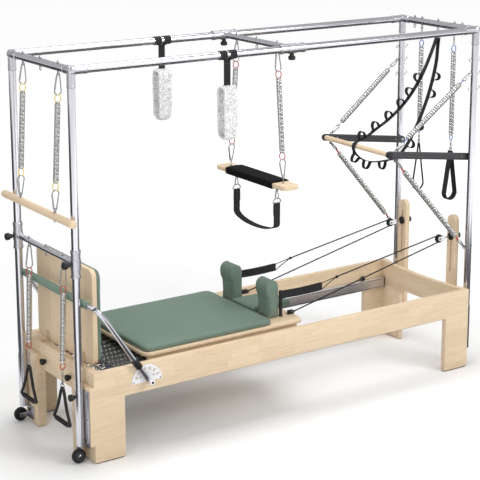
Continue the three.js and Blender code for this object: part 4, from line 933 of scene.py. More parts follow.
def star_knob(shape, base, direction, radius, length, finish="black"):
    """A clamp knob with eight lobes and a domed cap."""
    matrix = turn_to(direction)
    rings = []
    for run, share in ((0, 0.55), (0.08, 0.62), (0.34, 0.60), (0.42, 0.96), (0.80, 1.0), (0.94, 0.90), (1.0, 0.66)):
        ring = []
        for k in range(48):
            angle = math.tau * k / 48
            lobe = 1 - 0.13 * (1 - math.cos(8 * angle)) / 2 if share > 0.7 else 1
            width = radius * share * lobe
            ring.append(base + matrix @ Vector((width * math.cos(angle), width * math.sin(angle), run * length)))
        rings.append(ring)
    shape.skin(rings, finish)


# Bed
def wooden_copy(node, finish_for, ease=0.002):
    """A copy of a wooden frame node with eased edges and a finish for each face."""
    mesh = bmesh.new()
    mesh.from_mesh(frame["nodes"][node].data)
    bmesh.ops.remove_doubles(mesh, verts=mesh.verts, dist=0.00002)
    bmesh.ops.dissolve_limit(mesh, angle_limit=math.radians(1), verts=mesh.verts, edges=mesh.edges)
    edges = [e for e in mesh.edges if len(e.link_faces) == 2 and e.calc_face_angle() > math.radians(25)]
    bmesh.ops.bevel(mesh, geom=edges, offset=ease, segments=2, profile=0.6, affect="EDGES", clamp_overlap=True)
    shape = Shape()
    made = {vertex: shape.mesh.verts.new(vertex.co) for vertex in mesh.verts}
    for face in mesh.faces:
        copy = shape.mesh.faces.new([made[v] for v in face.verts])
        copy.material_index = shape.number(finish_for(face.calc_center_median()))
    mesh.free()
    return shape


def build_bed():
    for side in SIDES:
        shape = wooden_copy(f"{side}_side_frame", lambda c: "rubber" if c.z < 0.0058 else "wood_x")
        make_piece(shape, f"{side}_side_wood", "frame", f"{side}_side_frame")
    low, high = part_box("foot_end_panel")
    shape = Shape()
    face = -HALF_BED + 0.0003 + BED_MIDDLE
    shape.box((face, low.y, low.z), (high.x, high.y, high.z), "wood_y", 0.002)
    shape.box((high.x - 0.001, low.y, high.z - 0.030), (high.x + 0.0095, high.y, high.z), "wood_y", 0.001)
    for y in (-0.135, 0.135):
        star_knob(shape, at(-HALF_BED - 0.001, y, 0.372), -X_AXIS, 0.0175, 0.028)
        shape.rod(at(-HALF_BED - 0.008, y, 0.372), at(-HALF_BED + 0.006, y, 0.372), 0.006)
    screws = [(at(-HALF_BED + 0.0002, y, z), -X_AXIS) for y in (-0.325, -0.205, 0.205, 0.325) for z in (0.35, 0.43)]
    set_out(shape, SCREW, screws)
    make_piece(shape, "foot_panel_wood", "frame", "foot_end_panel")
    shape = wooden_copy("head_end_panel", lambda c: "wood_z" if c.x > HALF_BED + BED_MIDDLE else "wood_y", 0.0016)
    screws = [(at(HALF_BED + 0.028, s * 0.215 + y, z), X_AXIS)
              for s in (-1, 1) for y in (-0.018, 0.018) for z in (0.26, 0.34, 0.42)]
    set_out(shape, SCREW, screws)
    make_piece(shape, "head_panel_wood", "frame", "head_end_panel")


def build_tracks():
    for side, sign in SIDES.items():
        low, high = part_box(f"{side}_track")
        shape = Shape()
        inner = high.y if sign < 0 else low.y
        shape.box(low, high, "track", 0.005, 4)
        for x, way in ((low.x, -1), (high.x, 1)):
            shape.box((x - 0.0002 * way, low.y + 0.0008, low.z + 0.0008),
                      (x + 0.0022 * way, high.y - 0.0008, high.z - 0.0008), "black", 0.001)
        lip = inner - sign * 0.0002
        for z in (low.z + 0.008, high.z - 0.008):
            shape.box((low.x + 0.001, lip - 0.0009, z - 0.0012), (high.x - 0.001, lip + 0.0009, z + 0.0012),
                      "graphite", 0.0003, 1)
        holes = [(Vector((low.x + 0.12 + 0.26 * k, inner - sign * 0.0004, (low.z + high.z) / 2)), Y_AXIS * -sign)
                 for k in range(9)]
        # The index holes are matte black cups: painted shade inside the holes
        set_out(shape, INDEX_HOLE, holes, "hole_shade", 1.5)
        stop = at(1.008, (low.y + high.y) / 2, high.z)
        shape.lathe(stop - Z_AXIS * 0.0006, Z_AXIS, [(0, 6), (4, 6), (5, 11.5), (20, 12.5), (25, 11), (27, 6)],
                    "black", 24)
        make_piece(shape, f"{side}_track_rail", "frame", f"{side}_track")


# Tube frame
def ribbed_socket(shape, x, y, high):
    """An extruded sleeve with ribs along it, clamped round a post."""
    section = []
    for k in range(72):
        angle = math.tau * k / 72
        radius = SOCKET - (0.0011 if k % 6 in (0, 1) else 0.0)
        section.append((radius * math.cos(angle), radius * math.sin(angle)))
    shape.sweep([at(x, y, 0.088), at(x, y, high)], section, "tube_z", first=X_AXIS)


def post_shape(x, y, socket_top, holes):
    """A post with its socket and index holes along its outer face."""
    way = 1 if x > 0 else -1
    shape = Shape()
    shape.pipe(at(x, y, 0.087), at(x, y, POST_TOP), TUBE, BORE, "tube_z")
    ribbed_socket(shape, x, y, socket_top)
    return shape, [(at(x + way * (TUBE - 0.0002), y, 0.45 + 0.1 * k), X_AXIS * way) for k in holes]


def build_foot_posts():
    plank = -HALF_BED - 0.0243
    flange = plank - 0.005
    for side, sign in SIDES.items():
        y = sign * POST_Y
        shape, holes = post_shape(-POST_X, y, 0.372, [k for k in range(14) if abs(0.45 + 0.1 * k - 1.001) > 0.09])
        arm, plate, wheel = sign * 0.297, sign * 0.237, sign * 0.331
        shape.box(at(flange, y + sign * TUBE, 0.087), at(plank, y + sign * 0.062, 0.374), "fitting")
        shape.box(at(flange, y + sign * TUBE, 0.087), at(plank, plate, 0.092), "fitting", 0.001)
        shape.box(at(flange, arm, 0.026), at(plank, plate, 0.096), "fitting")
        shape.box(at(-1.275, arm, 0.027), at(plank, arm + sign * 0.006, 0.053), "fitting")
        shape.rod(at(-1.262, arm, 0.040), at(-1.262, wheel, 0.040), 0.005)
        shape.lathe(at(-1.262, wheel, 0.040), Y_AXIS * sign, [(0, 9), (3, 9), (5, 6), (6.5, 2)], "chrome", 20)
        screws = [(at(flange, y + sign * 0.046, z), -X_AXIS) for z in (0.112, 0.23, 0.348)]
        screws += [(at(flange, sign * w, z), -X_AXIS) for w in (0.255, 0.282) for z in (0.040, 0.080)]
        set_out(shape, SCREW, screws, size=1.3)
        # The index holes are matte black cups: painted shade inside the holes
        set_out(shape, INDEX_HOLE, holes, "hole_shade")
        if sign < 0:
            star_knob(shape, at(-POST_X - 0.026, y, 0.340), -X_AXIS, 0.018, 0.030)
            shape.rod(at(-POST_X - 0.019, y, 0.340), at(-POST_X - 0.032, y, 0.340), 0.006, "black")
        make_piece(shape, f"foot_post_tube_{side}", "frame", f"foot_post_{side}")


def build_head_posts():
    bracket = HALF_BED + 0.0003
    for side, sign in SIDES.items():
        y = sign * POST_Y
        shape, holes = post_shape(POST_X, y, 0.343, range(12))
        shape.box(at(bracket, y - 0.015, 0.087), at(POST_X - 0.0155, y + 0.015, 0.345), "fitting")
        shape.box(at(bracket, y - sign * 0.057, 0.087), at(bracket + 0.005, y + sign * 0.062, 0.345), "fitting")
        for way, z in [(-1, 1.760), (-1, 1.683), (-1, 1.600), (1, 1.760), (1, 1.683), (1, 1.600), (-1, 0.690)]:
            centre, stem_end = (at(POST_X + way * (TUBE + reach), y, z) for reach in (0.013, -0.002))
            eye_bolt(shape, centre, stem_end, Z_AXIS)
        set_out(shape, NUT, [(at(POST_X + TUBE - 0.0006, y, 0.690), X_AXIS)], size=0.8)
        screws = [(at(bracket + 0.005, y + sign * w, z), X_AXIS)
                  for w in (-0.040, 0.044) for z in (0.11, 0.215, 0.32)]
        set_out(shape, SCREW, screws, size=1.3)
        # The index holes are matte black cups: painted shade inside the holes
        set_out(shape, INDEX_HOLE, holes, "hole_shade")
        make_piece(shape, f"head_post_tube_{side}", "frame", f"head_post_{side}")


def build_top_frame():
    end = POST_X - FITTING_REACH
    for side, sign in SIDES.items():
        shape = Shape()
        shape.pipe(at(-end, sign * POST_Y, TOP_Z), at(end, sign * POST_Y, TOP_Z), TUBE, BORE, "tube_x")
        make_piece(shape, f"top_rail_tube_{side}", "frame", f"top_rail_{side}")
    lip = [(0, 19.6), (1, 21.7), (9, 21.7), (10, 20.4)]
    for end_name, x, eyes in (("foot", -POST_X, (-0.185, 0, 0.185)),
                              ("head", POST_X, (-0.2, -0.137, 0, 0.137, 0.2))):
        inward = -1 if x > 0 else 1
        shape = Shape()
        shape.rod(at(x, -POST_Y + 0.01, TOP_Z), at(x, POST_Y - 0.01, TOP_Z), TUBE, "tube_y", 40)
        for sign in (-1, 1):
            y = sign * POST_Y
            shape.lathe(at(x, y, TOP_Z - 0.080), Z_AXIS,
                        lip + [(72, 20.4), (94, 20.4), (99, 18), (101.2, 12), (101.7, 4)], "fitting", 40)
            shape.lathe(at(x + inward * 0.080, y, TOP_Z), -X_AXIS * inward, lip + [(84, 20.4)], "fitting", 40)
            shape.lathe(at(x, y - sign * 0.060, TOP_Z), Y_AXIS * sign, lip + [(76, 20.4), (80.5, 15), (81.5, 6)],
                        "fitting", 40)
            set_out(shape, SCREW, [(at(x - inward * 0.0203, y, TOP_Z - 0.055), -X_AXIS * inward),
                                   (at(x + inward * 0.055, y, TOP_Z + 0.0203), Z_AXIS),
                                   (at(x, y - sign * 0.045, TOP_Z + 0.0203), Z_AXIS)])
        for y in eyes:
            eye_bolt(shape, at(x, y, CROSSBAR_EYE_Z), at(x, y, TOP_Z - TUBE + 0.002))
        set_out(shape, NUT, [(at(x, y, TOP_Z + TUBE - 0.0006), Z_AXIS) for y in eyes])
        make_piece(shape, f"{end_name}_crossbar_tube", "frame", f"{end_name}_top_crossbar")


def build_casters():
    for side, sign in SIDES.items():
        shape = Shape()
        profile = [(0.2, 5.6), (0, 16), (2, 18), (3, 24), (1, 26.2), (0, 31), (2.5, 34.5), (6, 35.5), (16, 35.5),
                   (19.5, 34.5), (22, 31), (21, 26.2), (19, 24), (20, 18), (22, 16), (21.8, 5.6)]
        direction = Y_AXIS * sign
        turn = turn_to(direction)
        start = at(-1.262, sign * 0.309, 0.040)
        rings = [[start + turn @ Vector((u, v, run / 1000)) for u, v in circle_section(radius / 1000, 48)]
                 for run, radius in profile]
        shape.skin(rings, "rubber", closed=True)
        shape.lathe(start + direction * 0.0195, direction,
                    [(0, 23.5), (1, 23.2), (1.6, 17), (2.6, 16), (3, 10.5), (3, 5.8)], "graphite", 40, lids=False)
        make_piece(shape, f"caster_tyre_{side}", f"caster_wheel_{side}", f"caster_wheel_{side}")


# Springs and bars at the foot end
def lean_frame(x, z, rise):
    """A point function of a leaning hanger: u across the frame, w along its run."""
    angle = math.atan(rise)
    return lambda u, y, w: at(x + u * math.cos(angle) + w * math.sin(angle), y,
                              z - u * math.sin(angle) + w * math.cos(angle))


def build_rolldown():
    place = lean_frame(-POST_X, CROSSBAR_EYE_Z, 0.057)
    ends = (-0.185, 0.185)
    for side, y in zip(SIDES, ends):
        piece = hung_spring(f"rolldown_coil_{side}", f"rolldown_spring_{side}", place(0, y, 0), place(0, y, -0.650),
                            0.133, 0.521, ["yellow"], X_AXIS)
        tuple(place(0, y, -0.12))
        tuple(place(0, y, -0.54))
        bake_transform(piece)
    shape = Shape()
    bar = -0.650 - EYE_DROP - 0.0192
    shape.lathe(place(0, -0.375, bar), Y_AXIS,
                [(0, 3), (0.8, 14), (3, 17.5), (7, 19), (12, 19.2),
                 (738, 19.2), (743, 19), (747, 17.5), (749.2, 14), (750, 3)], "dowel", 40)
    up = (place(0, 0, 0) - place(0, 0, -1)).normalized()
    for y in ends:
        eye_bolt(shape, place(0, y, -0.650), place(0, y, bar + 0.015))
        shape.lathe(place(0, y, bar + 0.0215), -up, [(0, 3), (0, 7), (3.4, 7.5), (3.6, 3)], "chrome", 20)
        shape.lathe(place(0, y, bar - 0.0185), -up, [(0, 6.5), (4, 6.5), (4.5, 3.2), (9.5, 3), (10, 2)],
                    "chrome", 16)
    make_piece(shape, "rolldown_dowel", "rolldown_bar", "rolldown_bar")


def sliding_crossbar(centre, run, radius, collar, eye_z, stem_z, eyes, knob, nut_size=1.0):
    """A crossbar whose stepped sleeves slide on two tubes, with its knobs, eyes and nuts."""
    shape = Shape()
    shape.rod(centre - Y_AXIS * 0.288, centre + Y_AXIS * 0.288, radius, "tube_y", 36)
    along, length = run.normalized(), run.length
    for sign in (-1, 1):
        middle = centre + Y_AXIS * (sign * POST_Y)
        shape.pipe(middle - run, middle + run, 0.0229, TUBE + 0.00095, "fitting")
        for low, high in ((-length, 0.014 - length), (-0.024, 0.024), (length - 0.014, length)):
            shape.pipe(middle + along * low, middle + along * high, 0.0252, 0.0226, "fitting")
        shape.lathe(middle - Y_AXIS * (sign * 0.0215), Y_AXIS * -sign, collar, "fitting", 36)
        knob(shape, middle)
    x = centre.x - BED_MIDDLE
    for y in eyes:
        eye_bolt(shape, at(x, y, eye_z), at(x, y, stem_z))
    set_out(shape, NUT, [(at(x, y, centre.z + radius - 0.0006), Z_AXIS) for y in eyes], size=nut_size)
    return shape


def build_slider():
    def knob(shape, middle):
        shape.rod(middle - X_AXIS * 0.021, middle - X_AXIS * 0.046, 0.0070, "black")
        star_knob(shape, middle - X_AXIS * 0.034, -X_AXIS, 0.0195, 0.036)

    shape = sliding_crossbar(at(-POST_X, 0, 1.001), Z_AXIS * 0.067, 0.014,
                             [(0, 15), (0, 18.5), (10, 18.5), (12, 16.5), (12, 14)], 0.978, 0.988,
                             (-0.183, 0, 0.183), knob, 0.9)
    make_piece(shape, "slider_tube", "adjustable_crossbar", "adjustable_crossbar")


def build_handles():
    place = lean_frame(-POST_X, 0.978, 0.038)
    for side, sign in SIDES.items():
        y = sign * 0.183
        piece = hung_spring(f"handle_coil_{side}", f"handle_spring_{side}", place(0, y, 0), place(0, y, -0.606),
                            0.151, 0.508, ["red"], X_AXIS, "swivel")
        tuple(place(0, y, -0.13))
        tuple(place(0, y, -0.53))
        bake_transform(piece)
        shape = Shape()
        shape.ring(place(0, y, -0.606), X_AXIS, EYE, 0.0023)
        shape.ring(place(0, y, -0.622), X_AXIS, 0.0125, 0.0021, steps=28, stretch=Y_AXIS * 0.010)
        apex, base, half, corner = -0.634, -0.804, 0.082, 0.016
        side_route = [(half - corner, base), (half, base + 0.004), (half - 0.004, base + corner),
                      (half * 0.55, base + 0.074), (0.013, apex - 0.010)]
        route = [place(0, y - u, w) for u, w in side_route] + [place(0, y, apex)]
        route += [place(0, y + u, w) for u, w in reversed(side_route)]
        shape.cord(route, 0.0078, 20, "black", X_AXIS, 8)
        grip = [(0, 7), (2, 9.8), (6, 11.2)] + [(10 + 4 * k, 11.6 + (0.4 if k % 2 else 0)) for k in range(29)]
        shape.lathe(place(0, y - 0.066, base), Y_AXIS, grip + [(126, 11.2), (130, 9.8), (132, 7)], "rubber", 32)
        make_piece(shape, f"handle_loop_{side}", f"handle_{side}", f"handle_{side}")


# Trapeze
def build_trapeze_crossbar():
    def knob(shape, middle):
        shape.rod(middle - Z_AXIS * 0.021, middle - Z_AXIS * 0.030, 0.0075, "black")
        star_knob(shape, middle - Z_AXIS * 0.026, -Z_AXIS, 0.0190, 0.032)

    shape = sliding_crossbar(at(0, 0, TOP_Z), X_AXIS * 0.075, 0.016,
                             [(0, 16.5), (0, 20), (10, 20), (12, 18.5), (12, 16)], 1.893, TOP_Z - 0.014,
                             (-0.185, 0, 0.185), knob)
    make_piece(shape, "trapeze_crossbar_tube", "trapeze_crossbar", "trapeze_crossbar")


def build_trapeze_springs():
    for side, sign in SIDES.items():
        start, end = at(0, sign * 0.185, 1.893), at(0, sign * 0.243, 1.246)
        piece = hung_spring(f"trapeze_coil_{side}", f"trapeze_spring_{side}", start, end,
                            0.136, 0.527, ["red"], X_AXIS)
        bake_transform(piece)


def build_trapeze_seat():
    seat_z = 1.2
    shape = Shape()
    shape.plate(rounded_outline(0.320, 0.050, 0.020), 0.024, "wood_y",
                axes(Y_AXIS, -X_AXIS, Z_AXIS, at(0, 0, seat_z)), 0.0035)
    for sign in (-1, 1):
        y = sign * 0.243
        eye_bolt(shape, at(0, y, 1.246), at(0, y, seat_z + 0.010))
        for way in (1, -1):
            shape.lathe(at(0, y, seat_z + way * 0.0118), Z_AXIS * way, [(0, 9), (1.4, 9), (2.2, 7)], "chrome", 20)
        eye_bolt(shape, at(0, sign * 0.188, 1.171), at(0, sign * 0.188, 1.184))
    make_piece(shape, "trapeze_plank", "trapeze_seat", "trapeze_seat")

    shape = Shape()
    rings = []
    count, power, half_length = 61, 0.24, 0.215
    for k in range(count):
        y = half_length * (2 * k / (count - 1) - 1)
        edge = min(1.0, max(0.0, half_length - abs(y)) / 0.006) ** 0.5
        ring = []
        for c, s in circle_section(1, 56):
            x = (0.0528 + 0.0032 * edge) * math.copysign(abs(c) ** power, c)
            crown = 0.0020 * (1 - (x / 0.056) ** 2) if s > 0 else 0
            z = (0.0160 + 0.0040 * edge) * math.copysign(abs(s) ** power, s) + crown * edge
            ring.append(at(x, y, seat_z + z))
        rings.append(ring)
    shape.skin(rings, "padded_cover")
    corners = [(47, 16.5), (54.5, 12), (54.5, -12), (47, -16.5)]
    corners += [(-x, z) for x, z in reversed(corners)]
    for y in (-0.2152, 0.2152):
        seam = [at(x / 1000, y, seat_z + z / 1000) for x, z in corners]
        shape.cord(seam, 0.0010, 8, "padded_cover", Y_AXIS, 5, closed=True)
    cover = make_piece(shape, "trapeze_seat_cover", "trapeze_seat", "trapeze_seat", sharp=60)


def build_sling():
    shape = Shape()
    eye_z, offset, width = 1.171, 0.188, 0.040
    top = eye_z - EYE + EYE_WIRE + 0.003 - 0.076
    bend = top - 0.112
    side_route = [(offset, top + 0.004), (offset + 0.0005, top - 0.03), (offset, bend + 0.035)]
    route = [(-y, z) for y, z in side_route]
    for k in range(15):
        angle = math.pi * k / 14
        route.append((-offset * math.cos(angle), bend - 0.047 * math.sin(angle)))
    route += reversed(side_route)
    shape.strap([at(0, y, z) for y, z in route], width, 0.0042, X_AXIS, 5)
    for sign in (-1, 1):
        y = sign * offset
        inner = y - sign * 0.0042
        shape.strap([at(0, y, top + 0.004), at(0, inner, top - 0.008), at(0, inner, top - 0.062)],
                    width, 0.0038, X_AXIS, 6)
        for z in (top - 0.020, top - 0.056):
            shape.stitches([at(x / 1000, y + sign * 0.0023, z) for x in range(-17, 18, 2)], Z_AXIS)
        ends = [at(-0.025, y, top + 0.006), at(0.025, y, top + 0.006)]
        shape.rod(*ends, 0.0030, "chrome", 12)
        bow = [at(-0.025 * math.cos(math.pi * k / 12), y, top + 0.006 + 0.024 * math.sin(math.pi * k / 12))
               for k in range(1, 12)]
        shape.cord([ends[0], *bow, ends[1]], 0.0029, 10, "chrome", Y_AXIS, 3)
        clip(shape, at(0, y, eye_z - EYE + 0.004), at(0, y, top + 0.0265), X_AXIS)
    make_piece(shape, "sling_strap", "trapeze_sling", "trapeze_sling")


# Push-through bar and its springs
push_place = lean_frame(POST_X, 1.207, 0.136)


def build_push_bar():
    along = (push_place(1, 0, 0) - push_place(0, 0, 0)).normalized()
    up = (push_place(0, 0, 1) - push_place(0, 0, 0)).normalized()
    shape = Shape()
    arm_y, bar_u, eye_u, eye_w = 0.285, -0.580, -0.536, 0.027
    track = arc(0.020, -90, 90, 12) + arc(0.020, 90, 270, 12, (bar_u, 0))
    slots = [[(u + x, v) for u, v in circle_section(0.0045, 16)] for x in (-0.050, -0.490)]
    for sign in (-1, 1):
        y = sign * arm_y
        out = Y_AXIS * sign
        shape.plate(track, 0.008, "graphite", axes(along, up, along.cross(up), push_place(0, y, 0)), 0.0012, slots)
        for w in (-eye_w, eye_w):
            eye_bolt(shape, push_place(eye_u, y, w), push_place(eye_u, y, w * 0.62), along)
        shape.lathe(push_place(0, sign * 0.2784, 0), out, [(0, 4), (0.6, 9.5), (3, 11.5), (12.3, 11.5)], "chrome")
        shape.lathe(push_place(bar_u, sign * 0.2885, 0), out,
                    [(0, 15), (1.2, 16.5), (8.5, 16.5), (10.8, 14), (11.4, 4)], "black", 36)
        shape.lathe(push_place(bar_u, sign * 0.2735, 0), out, [(0, 14.1), (1, 17.2), (6.8, 17.2), (7.8, 16)],
                    "black", 36)
    shape.rod(push_place(bar_u, -0.281, 0), push_place(bar_u, 0.281, 0), 0.014, "dowel", 40)
    pin = push_place(0.020, -arm_y, -0.018)
    shape.lathe(pin + Y_AXIS * 0.004, -Y_AXIS, [(0, 4), (16, 4), (16, 8), (24, 8.5), (26, 6)], "chrome", 24)
    make_piece(shape, "push_arm_plates", "push_through_bar", "push_through_bar")
    for side, sign in SIDES.items():
        y = sign * arm_y
        top, low = (at(POST_X - 0.032, sign * POST_Y, z) for z in (1.683, 0.690))
        top_bar, low_bar = (push_place(eye_u, y, w) for w in (eye_w, -eye_w))
        for name, start, end, still, moving, head, tail, colour in (
                ("top", top, top_bar, top, top_bar, 0.082, 0.090, "blue" if sign < 0 else "plain"),
                ("low", low_bar, low, low, low_bar, 0.092, 0.098, "red")):
            piece = hung_spring(f"push_coil_{name}_{side}", f"push_spring_{name}_{side}", start, end,
                                head, (end - start).length - tail, [colour], Y_AXIS)
            tuple(still.lerp(moving, 0.14))
            tuple(still.lerp(moving, 0.84))
            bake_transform(piece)


# The looped strap's route, as millimetres along and up
LADDER = [(1253, 1846), (1248, 1790), (1241, 1710), (1217, 1610), (1184, 1511), (1144, 1421), (1096, 1332),
          (1047, 1260), (1006, 1214), (969, 1182), (890, 1176), (812, 1178), (754, 1190), (705, 1212),
          (668, 1242), (651, 1272), (655, 1296), (675, 1308), (712, 1318), (753, 1334), (810, 1365),
          (897, 1409), (984, 1469), (1053, 1532), (1122, 1619), (1170, 1700), (1214, 1790), (1239, 1846)]
# Where its small loops sit, as shares of its length
LADDER_LOOPS = (0.112, 0.163, 0.262, 0.318, 0.431, 0.487, 0.530, 0.600, 0.655, 0.710, 0.765, 0.810, 0.860)


def build_ladder():
    path = smooth_path([at(x / 1000, 0, z / 1000) for x, z in LADDER], 6, True)
    shape = Shape()
    shape.strap(path, 0.027, 0.0034, Y_AXIS, closed=True)
    runs = [0.0]
    for k, point in enumerate(path):
        runs.append(runs[-1] + (path[(k + 1) % len(path)] - point).length)

    def along_path(share):
        goal = share * runs[-1]
        k = max(j for j in range(len(path)) if runs[j] <= goal)
        after = path[(k + 1) % len(path)]
        return path[k].lerp(after, (goal - runs[k]) / (runs[k + 1] - runs[k])), (after - path[k]).normalized()

    outer = -1 if along_path(0.45)[1].cross(Y_AXIS).z > 0 else 1
    half, depth, lift = 0.0225, 0.046, 0.0034
    for share in LADDER_LOOPS:
        point, along = along_path(share)
        outward = along.cross(Y_AXIS) * outer
        bow = [(-half - 0.010, 0.0032)]
        for k in range(15):
            angle = math.pi * k / 14
            bow.append((-half * math.cos(angle), lift + (depth - lift) * math.sin(angle) ** 0.8))
        bow.append((half + 0.010, 0.0032))
        shape.strap([point + along * u + outward * v for u, v in bow], 0.025, 0.0028, Y_AXIS, 3)
        for way in (-1, 1):
            seam = point + along * (way * (half + 0.005)) + outward * 0.0050
            shape.stitches([seam + Y_AXIS * (y / 1000) for y in (-10, -5, 0, 5, 10)], along)
    knuckle = CROSSBAR_EYE_Z - EYE + EYE_WIRE + 0.003 - 0.038 - 0.0035
    hitch = ((0.0008, -0.012), (0.0072, 0.001), (0, 0.0075), (-0.0072, 0.001))
    shape.strap([at(POST_X + u, 0, knuckle + w) for u, w in hitch], 0.027, 0.0034, Y_AXIS, 6, closed=True)
    shape.rod(at(POST_X, -0.013, knuckle), at(POST_X, 0.013, knuckle), 0.0042, "chrome", 16)
    clip(shape, at(POST_X, 0, CROSSBAR_EYE_Z - EYE + 0.0045), at(POST_X, 0, knuckle + 0.001), X_AXIS)
    piece = make_piece(shape, "ladder_webbing", None, "ladder_strap")
    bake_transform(piece)


def build_leg_straps():
    for side, sign in SIDES.items():
        y = sign * 0.137
        top, low = at(POST_X, y, CROSSBAR_EYE_Z), at(POST_X, y, CROSSBAR_EYE_Z - 0.668)
        piece = hung_spring(f"leg_coil_{side}", f"leg_spring_{side}", top, low, 0.108, 0.588, ["blue"], X_AXIS,
                            "swivel", "swivel")
        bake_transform(piece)
        width = 0.037 if sign < 0 else 0.012
        z = low.z
        shape = Shape()
        shape.ring(low, X_AXIS, EYE, 0.0023)
        reach = width / 2 + 0.003
        shape.rod(at(POST_X, y - reach, z - 0.0125), at(POST_X, y + reach, z - 0.0125), 0.003, "chrome", 12)
        apex, bottom, half = z - 0.014, z - 0.250, 0.040
        neck = apex - 0.045
        side_route = [(0.0022, apex + 0.0045), (0.0055, apex - 0.012), (0.010, neck)]
        side_route += [(0.010 + (half - 0.010) * share, neck - (neck - bottom) * share) for share in (0.33, 0.66)]
        route = [(-u, w) for u, w in side_route] + arc(half, 180, 360, 10, (0, bottom)) + side_route[::-1]
        loop = [at(POST_X + u, y, w) for u, w in route]
        shape.strap(loop, width, 0.0034, Y_AXIS, 6)
        if sign < 0:
            pad = [p + (p - at(POST_X, y, bottom)).normalized() * 0.0022 for p in loop[6:14]]
            shape.strap(pad, width - 0.004, 0.0042, Y_AXIS, 6, finish="rubber")
        make_piece(shape, f"foot_loop_{side}", f"foot_strap_{side}", f"foot_strap_{side}")


# Fleece loops
def tuft(shape):
    """Three strands of pile that lean apart."""
    for k in range(3):
        angle = math.tau * k / 3
        lean = Vector((math.cos(angle) * 0.6, math.sin(angle) * 0.6, 1)).normalized()
        base = Vector((math.cos(angle) * 0.0006, math.sin(angle) * 0.0006, -0.0003))
        shape.sweep([base, base + lean * 0.0048], circle_section(0.0009, 3), "fleece", scale=[1, 0.22])


def fleece_ground(x0, y, middle_z):
    """The band that carries the pile, thinner at its edges and narrower at the foot of the loop."""
    core = bmesh.new()
    outer = rounded_outline(0.0370, 0.1340, 0.031)
    inner = rounded_outline(0.0285, 0.1255, 0.0225)
    slabs = []
    for x in (-0.037, -0.033, -0.018, 0.0, 0.018, 0.033, 0.037):
        thin = {0.037: 0.905, 0.033: 0.975}.get(abs(x), 1.0)
        slabs.append([[core.verts.new(at(x0 + x * (1 - 0.30 * max(0.0, -v / 0.134 - 0.72) / 0.28), y + u * shrink,
                                         middle_z + v * (1 - (1 - shrink) * 0.28))) for u, v in ring]
                      for ring, shrink in ((outer, thin), (inner, 1.0))])
    count = len(outer)
    for (out_a, in_a), (out_b, in_b) in zip(slabs, slabs[1:]):
        for k in range(count):
            n = (k + 1) % count
            core.faces.new((out_a[k], out_b[k], out_b[n], out_a[n]))
            core.faces.new((in_a[k], in_a[n], in_b[n], in_b[k]))
    for out_ring, in_ring in (slabs[0], slabs[-1]):
        for k in range(count):
            n = (k + 1) % count
            core.faces.new((out_ring[k], out_ring[n], in_ring[n], in_ring[k]))
    bmesh.ops.recalc_face_normals(core, faces=core.faces)
    ground = bpy.data.meshes.new("fleece_ground")
    core.to_mesh(ground)
    core.free()
    return ground


def build_fleece():
    x0 = -0.390
    high, low = TOP_Z - 0.149, TOP_Z - 0.423
    top = TOP_Z - TUBE - 0.0022
    for side, sign in SIDES.items():
        y = sign * POST_Y
        shape = Shape()
        shape.take(run_tree("fleece_pile", "fleece", {
            "Tuft": pattern("tuft", tuft), "Density": float(settings("pads").tufts), "Least": 0.65, "Most": 1.25,
            "Lean": 0.45, "Seed": 7 if sign < 0 else 11}, fleece_ground(x0, y, (high + low) / 2)), "fleece")
        make_piece(shape, f"fleece_band_{side}", f"fleece_loop_{side}", f"fleece_loop_{side}", sharp=180)
        shape = Shape()
        for middle in (x0 - 0.028, x0 + 0.028):
            for start, end, outer, bore, finish in (
                    (-0.0200, 0.0200, 0.0224, TUBE + 0.0009, "webbing"),
                    (-0.0195, -0.0165, 0.0229, 0.0222, "graphite"), (0.0165, 0.0195, 0.0229, 0.0222, "graphite")):
                shape.pipe(at(middle + start, y, TOP_Z), at(middle + end, y, TOP_Z), outer, bore, finish)
        shape.strap([at(x0, y, z) for z in (top, (top + high) / 2, high - 0.008)], 0.038, 0.0042, X_AXIS, 6)
        shape.strap([at(x0 - 0.028, y, top - 0.001), at(x0, y, top - 0.0045), at(x0 + 0.028, y, top - 0.001)],
                    0.018, 0.003, Y_AXIS, 6)
        for z in (top - 0.022, high + 0.012):
            for way in (-1, 1):
                shape.stitches([at(x0 + x / 1000, y + way * 0.0023, z) for x in range(-16, 17, 4)], Z_AXIS)
        make_piece(shape, f"fleece_hanger_{side}", f"fleece_loop_{side}", f"fleece_loop_{side}")


# Upholstery
CLOTH_FRAMES = 20
BOX_SPARE = 0.004  # how far a pad may stand out of its node's box


def soft_copy(node, voxel):
    """A frame pad as one even skin, swollen by foam under a cloth cover."""
    mesh = bmesh.new()
    mesh.from_mesh(frame["nodes"][node].data)
    bmesh.ops.remove_doubles(mesh, verts=mesh.verts, dist=0.00002)
    data = bpy.data.meshes.new(node + "_cover")
    mesh.to_mesh(data)
    mesh.free()
    pad = new_object(node + "_cover", data)
    remesh = pad.modifiers.new("even", "REMESH")
    remesh.mode = "VOXEL"
    remesh.voxel_size = voxel
    smooth = pad.modifiers.new("calm", "SMOOTH")
    smooth.factor = 0.5
    smooth.iterations = 3
    bake(pad)
    rest = [vertex.co.copy() for vertex in pad.data.vertices]
    cloth = pad.modifiers.new("cloth", "CLOTH")
    cloth.settings.use_pressure = True
    cloth.settings.uniform_pressure_force = settings("pads").pressure
    cloth.settings.effector_weights.gravity = 0
    cloth.settings.quality = 5
    cloth.point_cache.frame_start = 1
    cloth.point_cache.frame_end = CLOTH_FRAMES
    for number in range(1, CLOTH_FRAMES + 1):
        bpy.context.scene.frame_set(number)
    bake(pad)
    bpy.context.scene.frame_set(1)
    cap = settings("pads").cap
    for vertex, start in zip(pad.data.vertices, rest):
        move = vertex.co - start
        if move.length > cap:
            move = move * (cap / move.length)
        vertex.co = start + move
    return pad


def bake(holder):
    """Turns an object's modifiers into its mesh."""
    made = plain_mesh(holder)
    old = holder.data
    holder.modifiers.clear()
    holder.data = made
    bpy.data.meshes.remove(old)


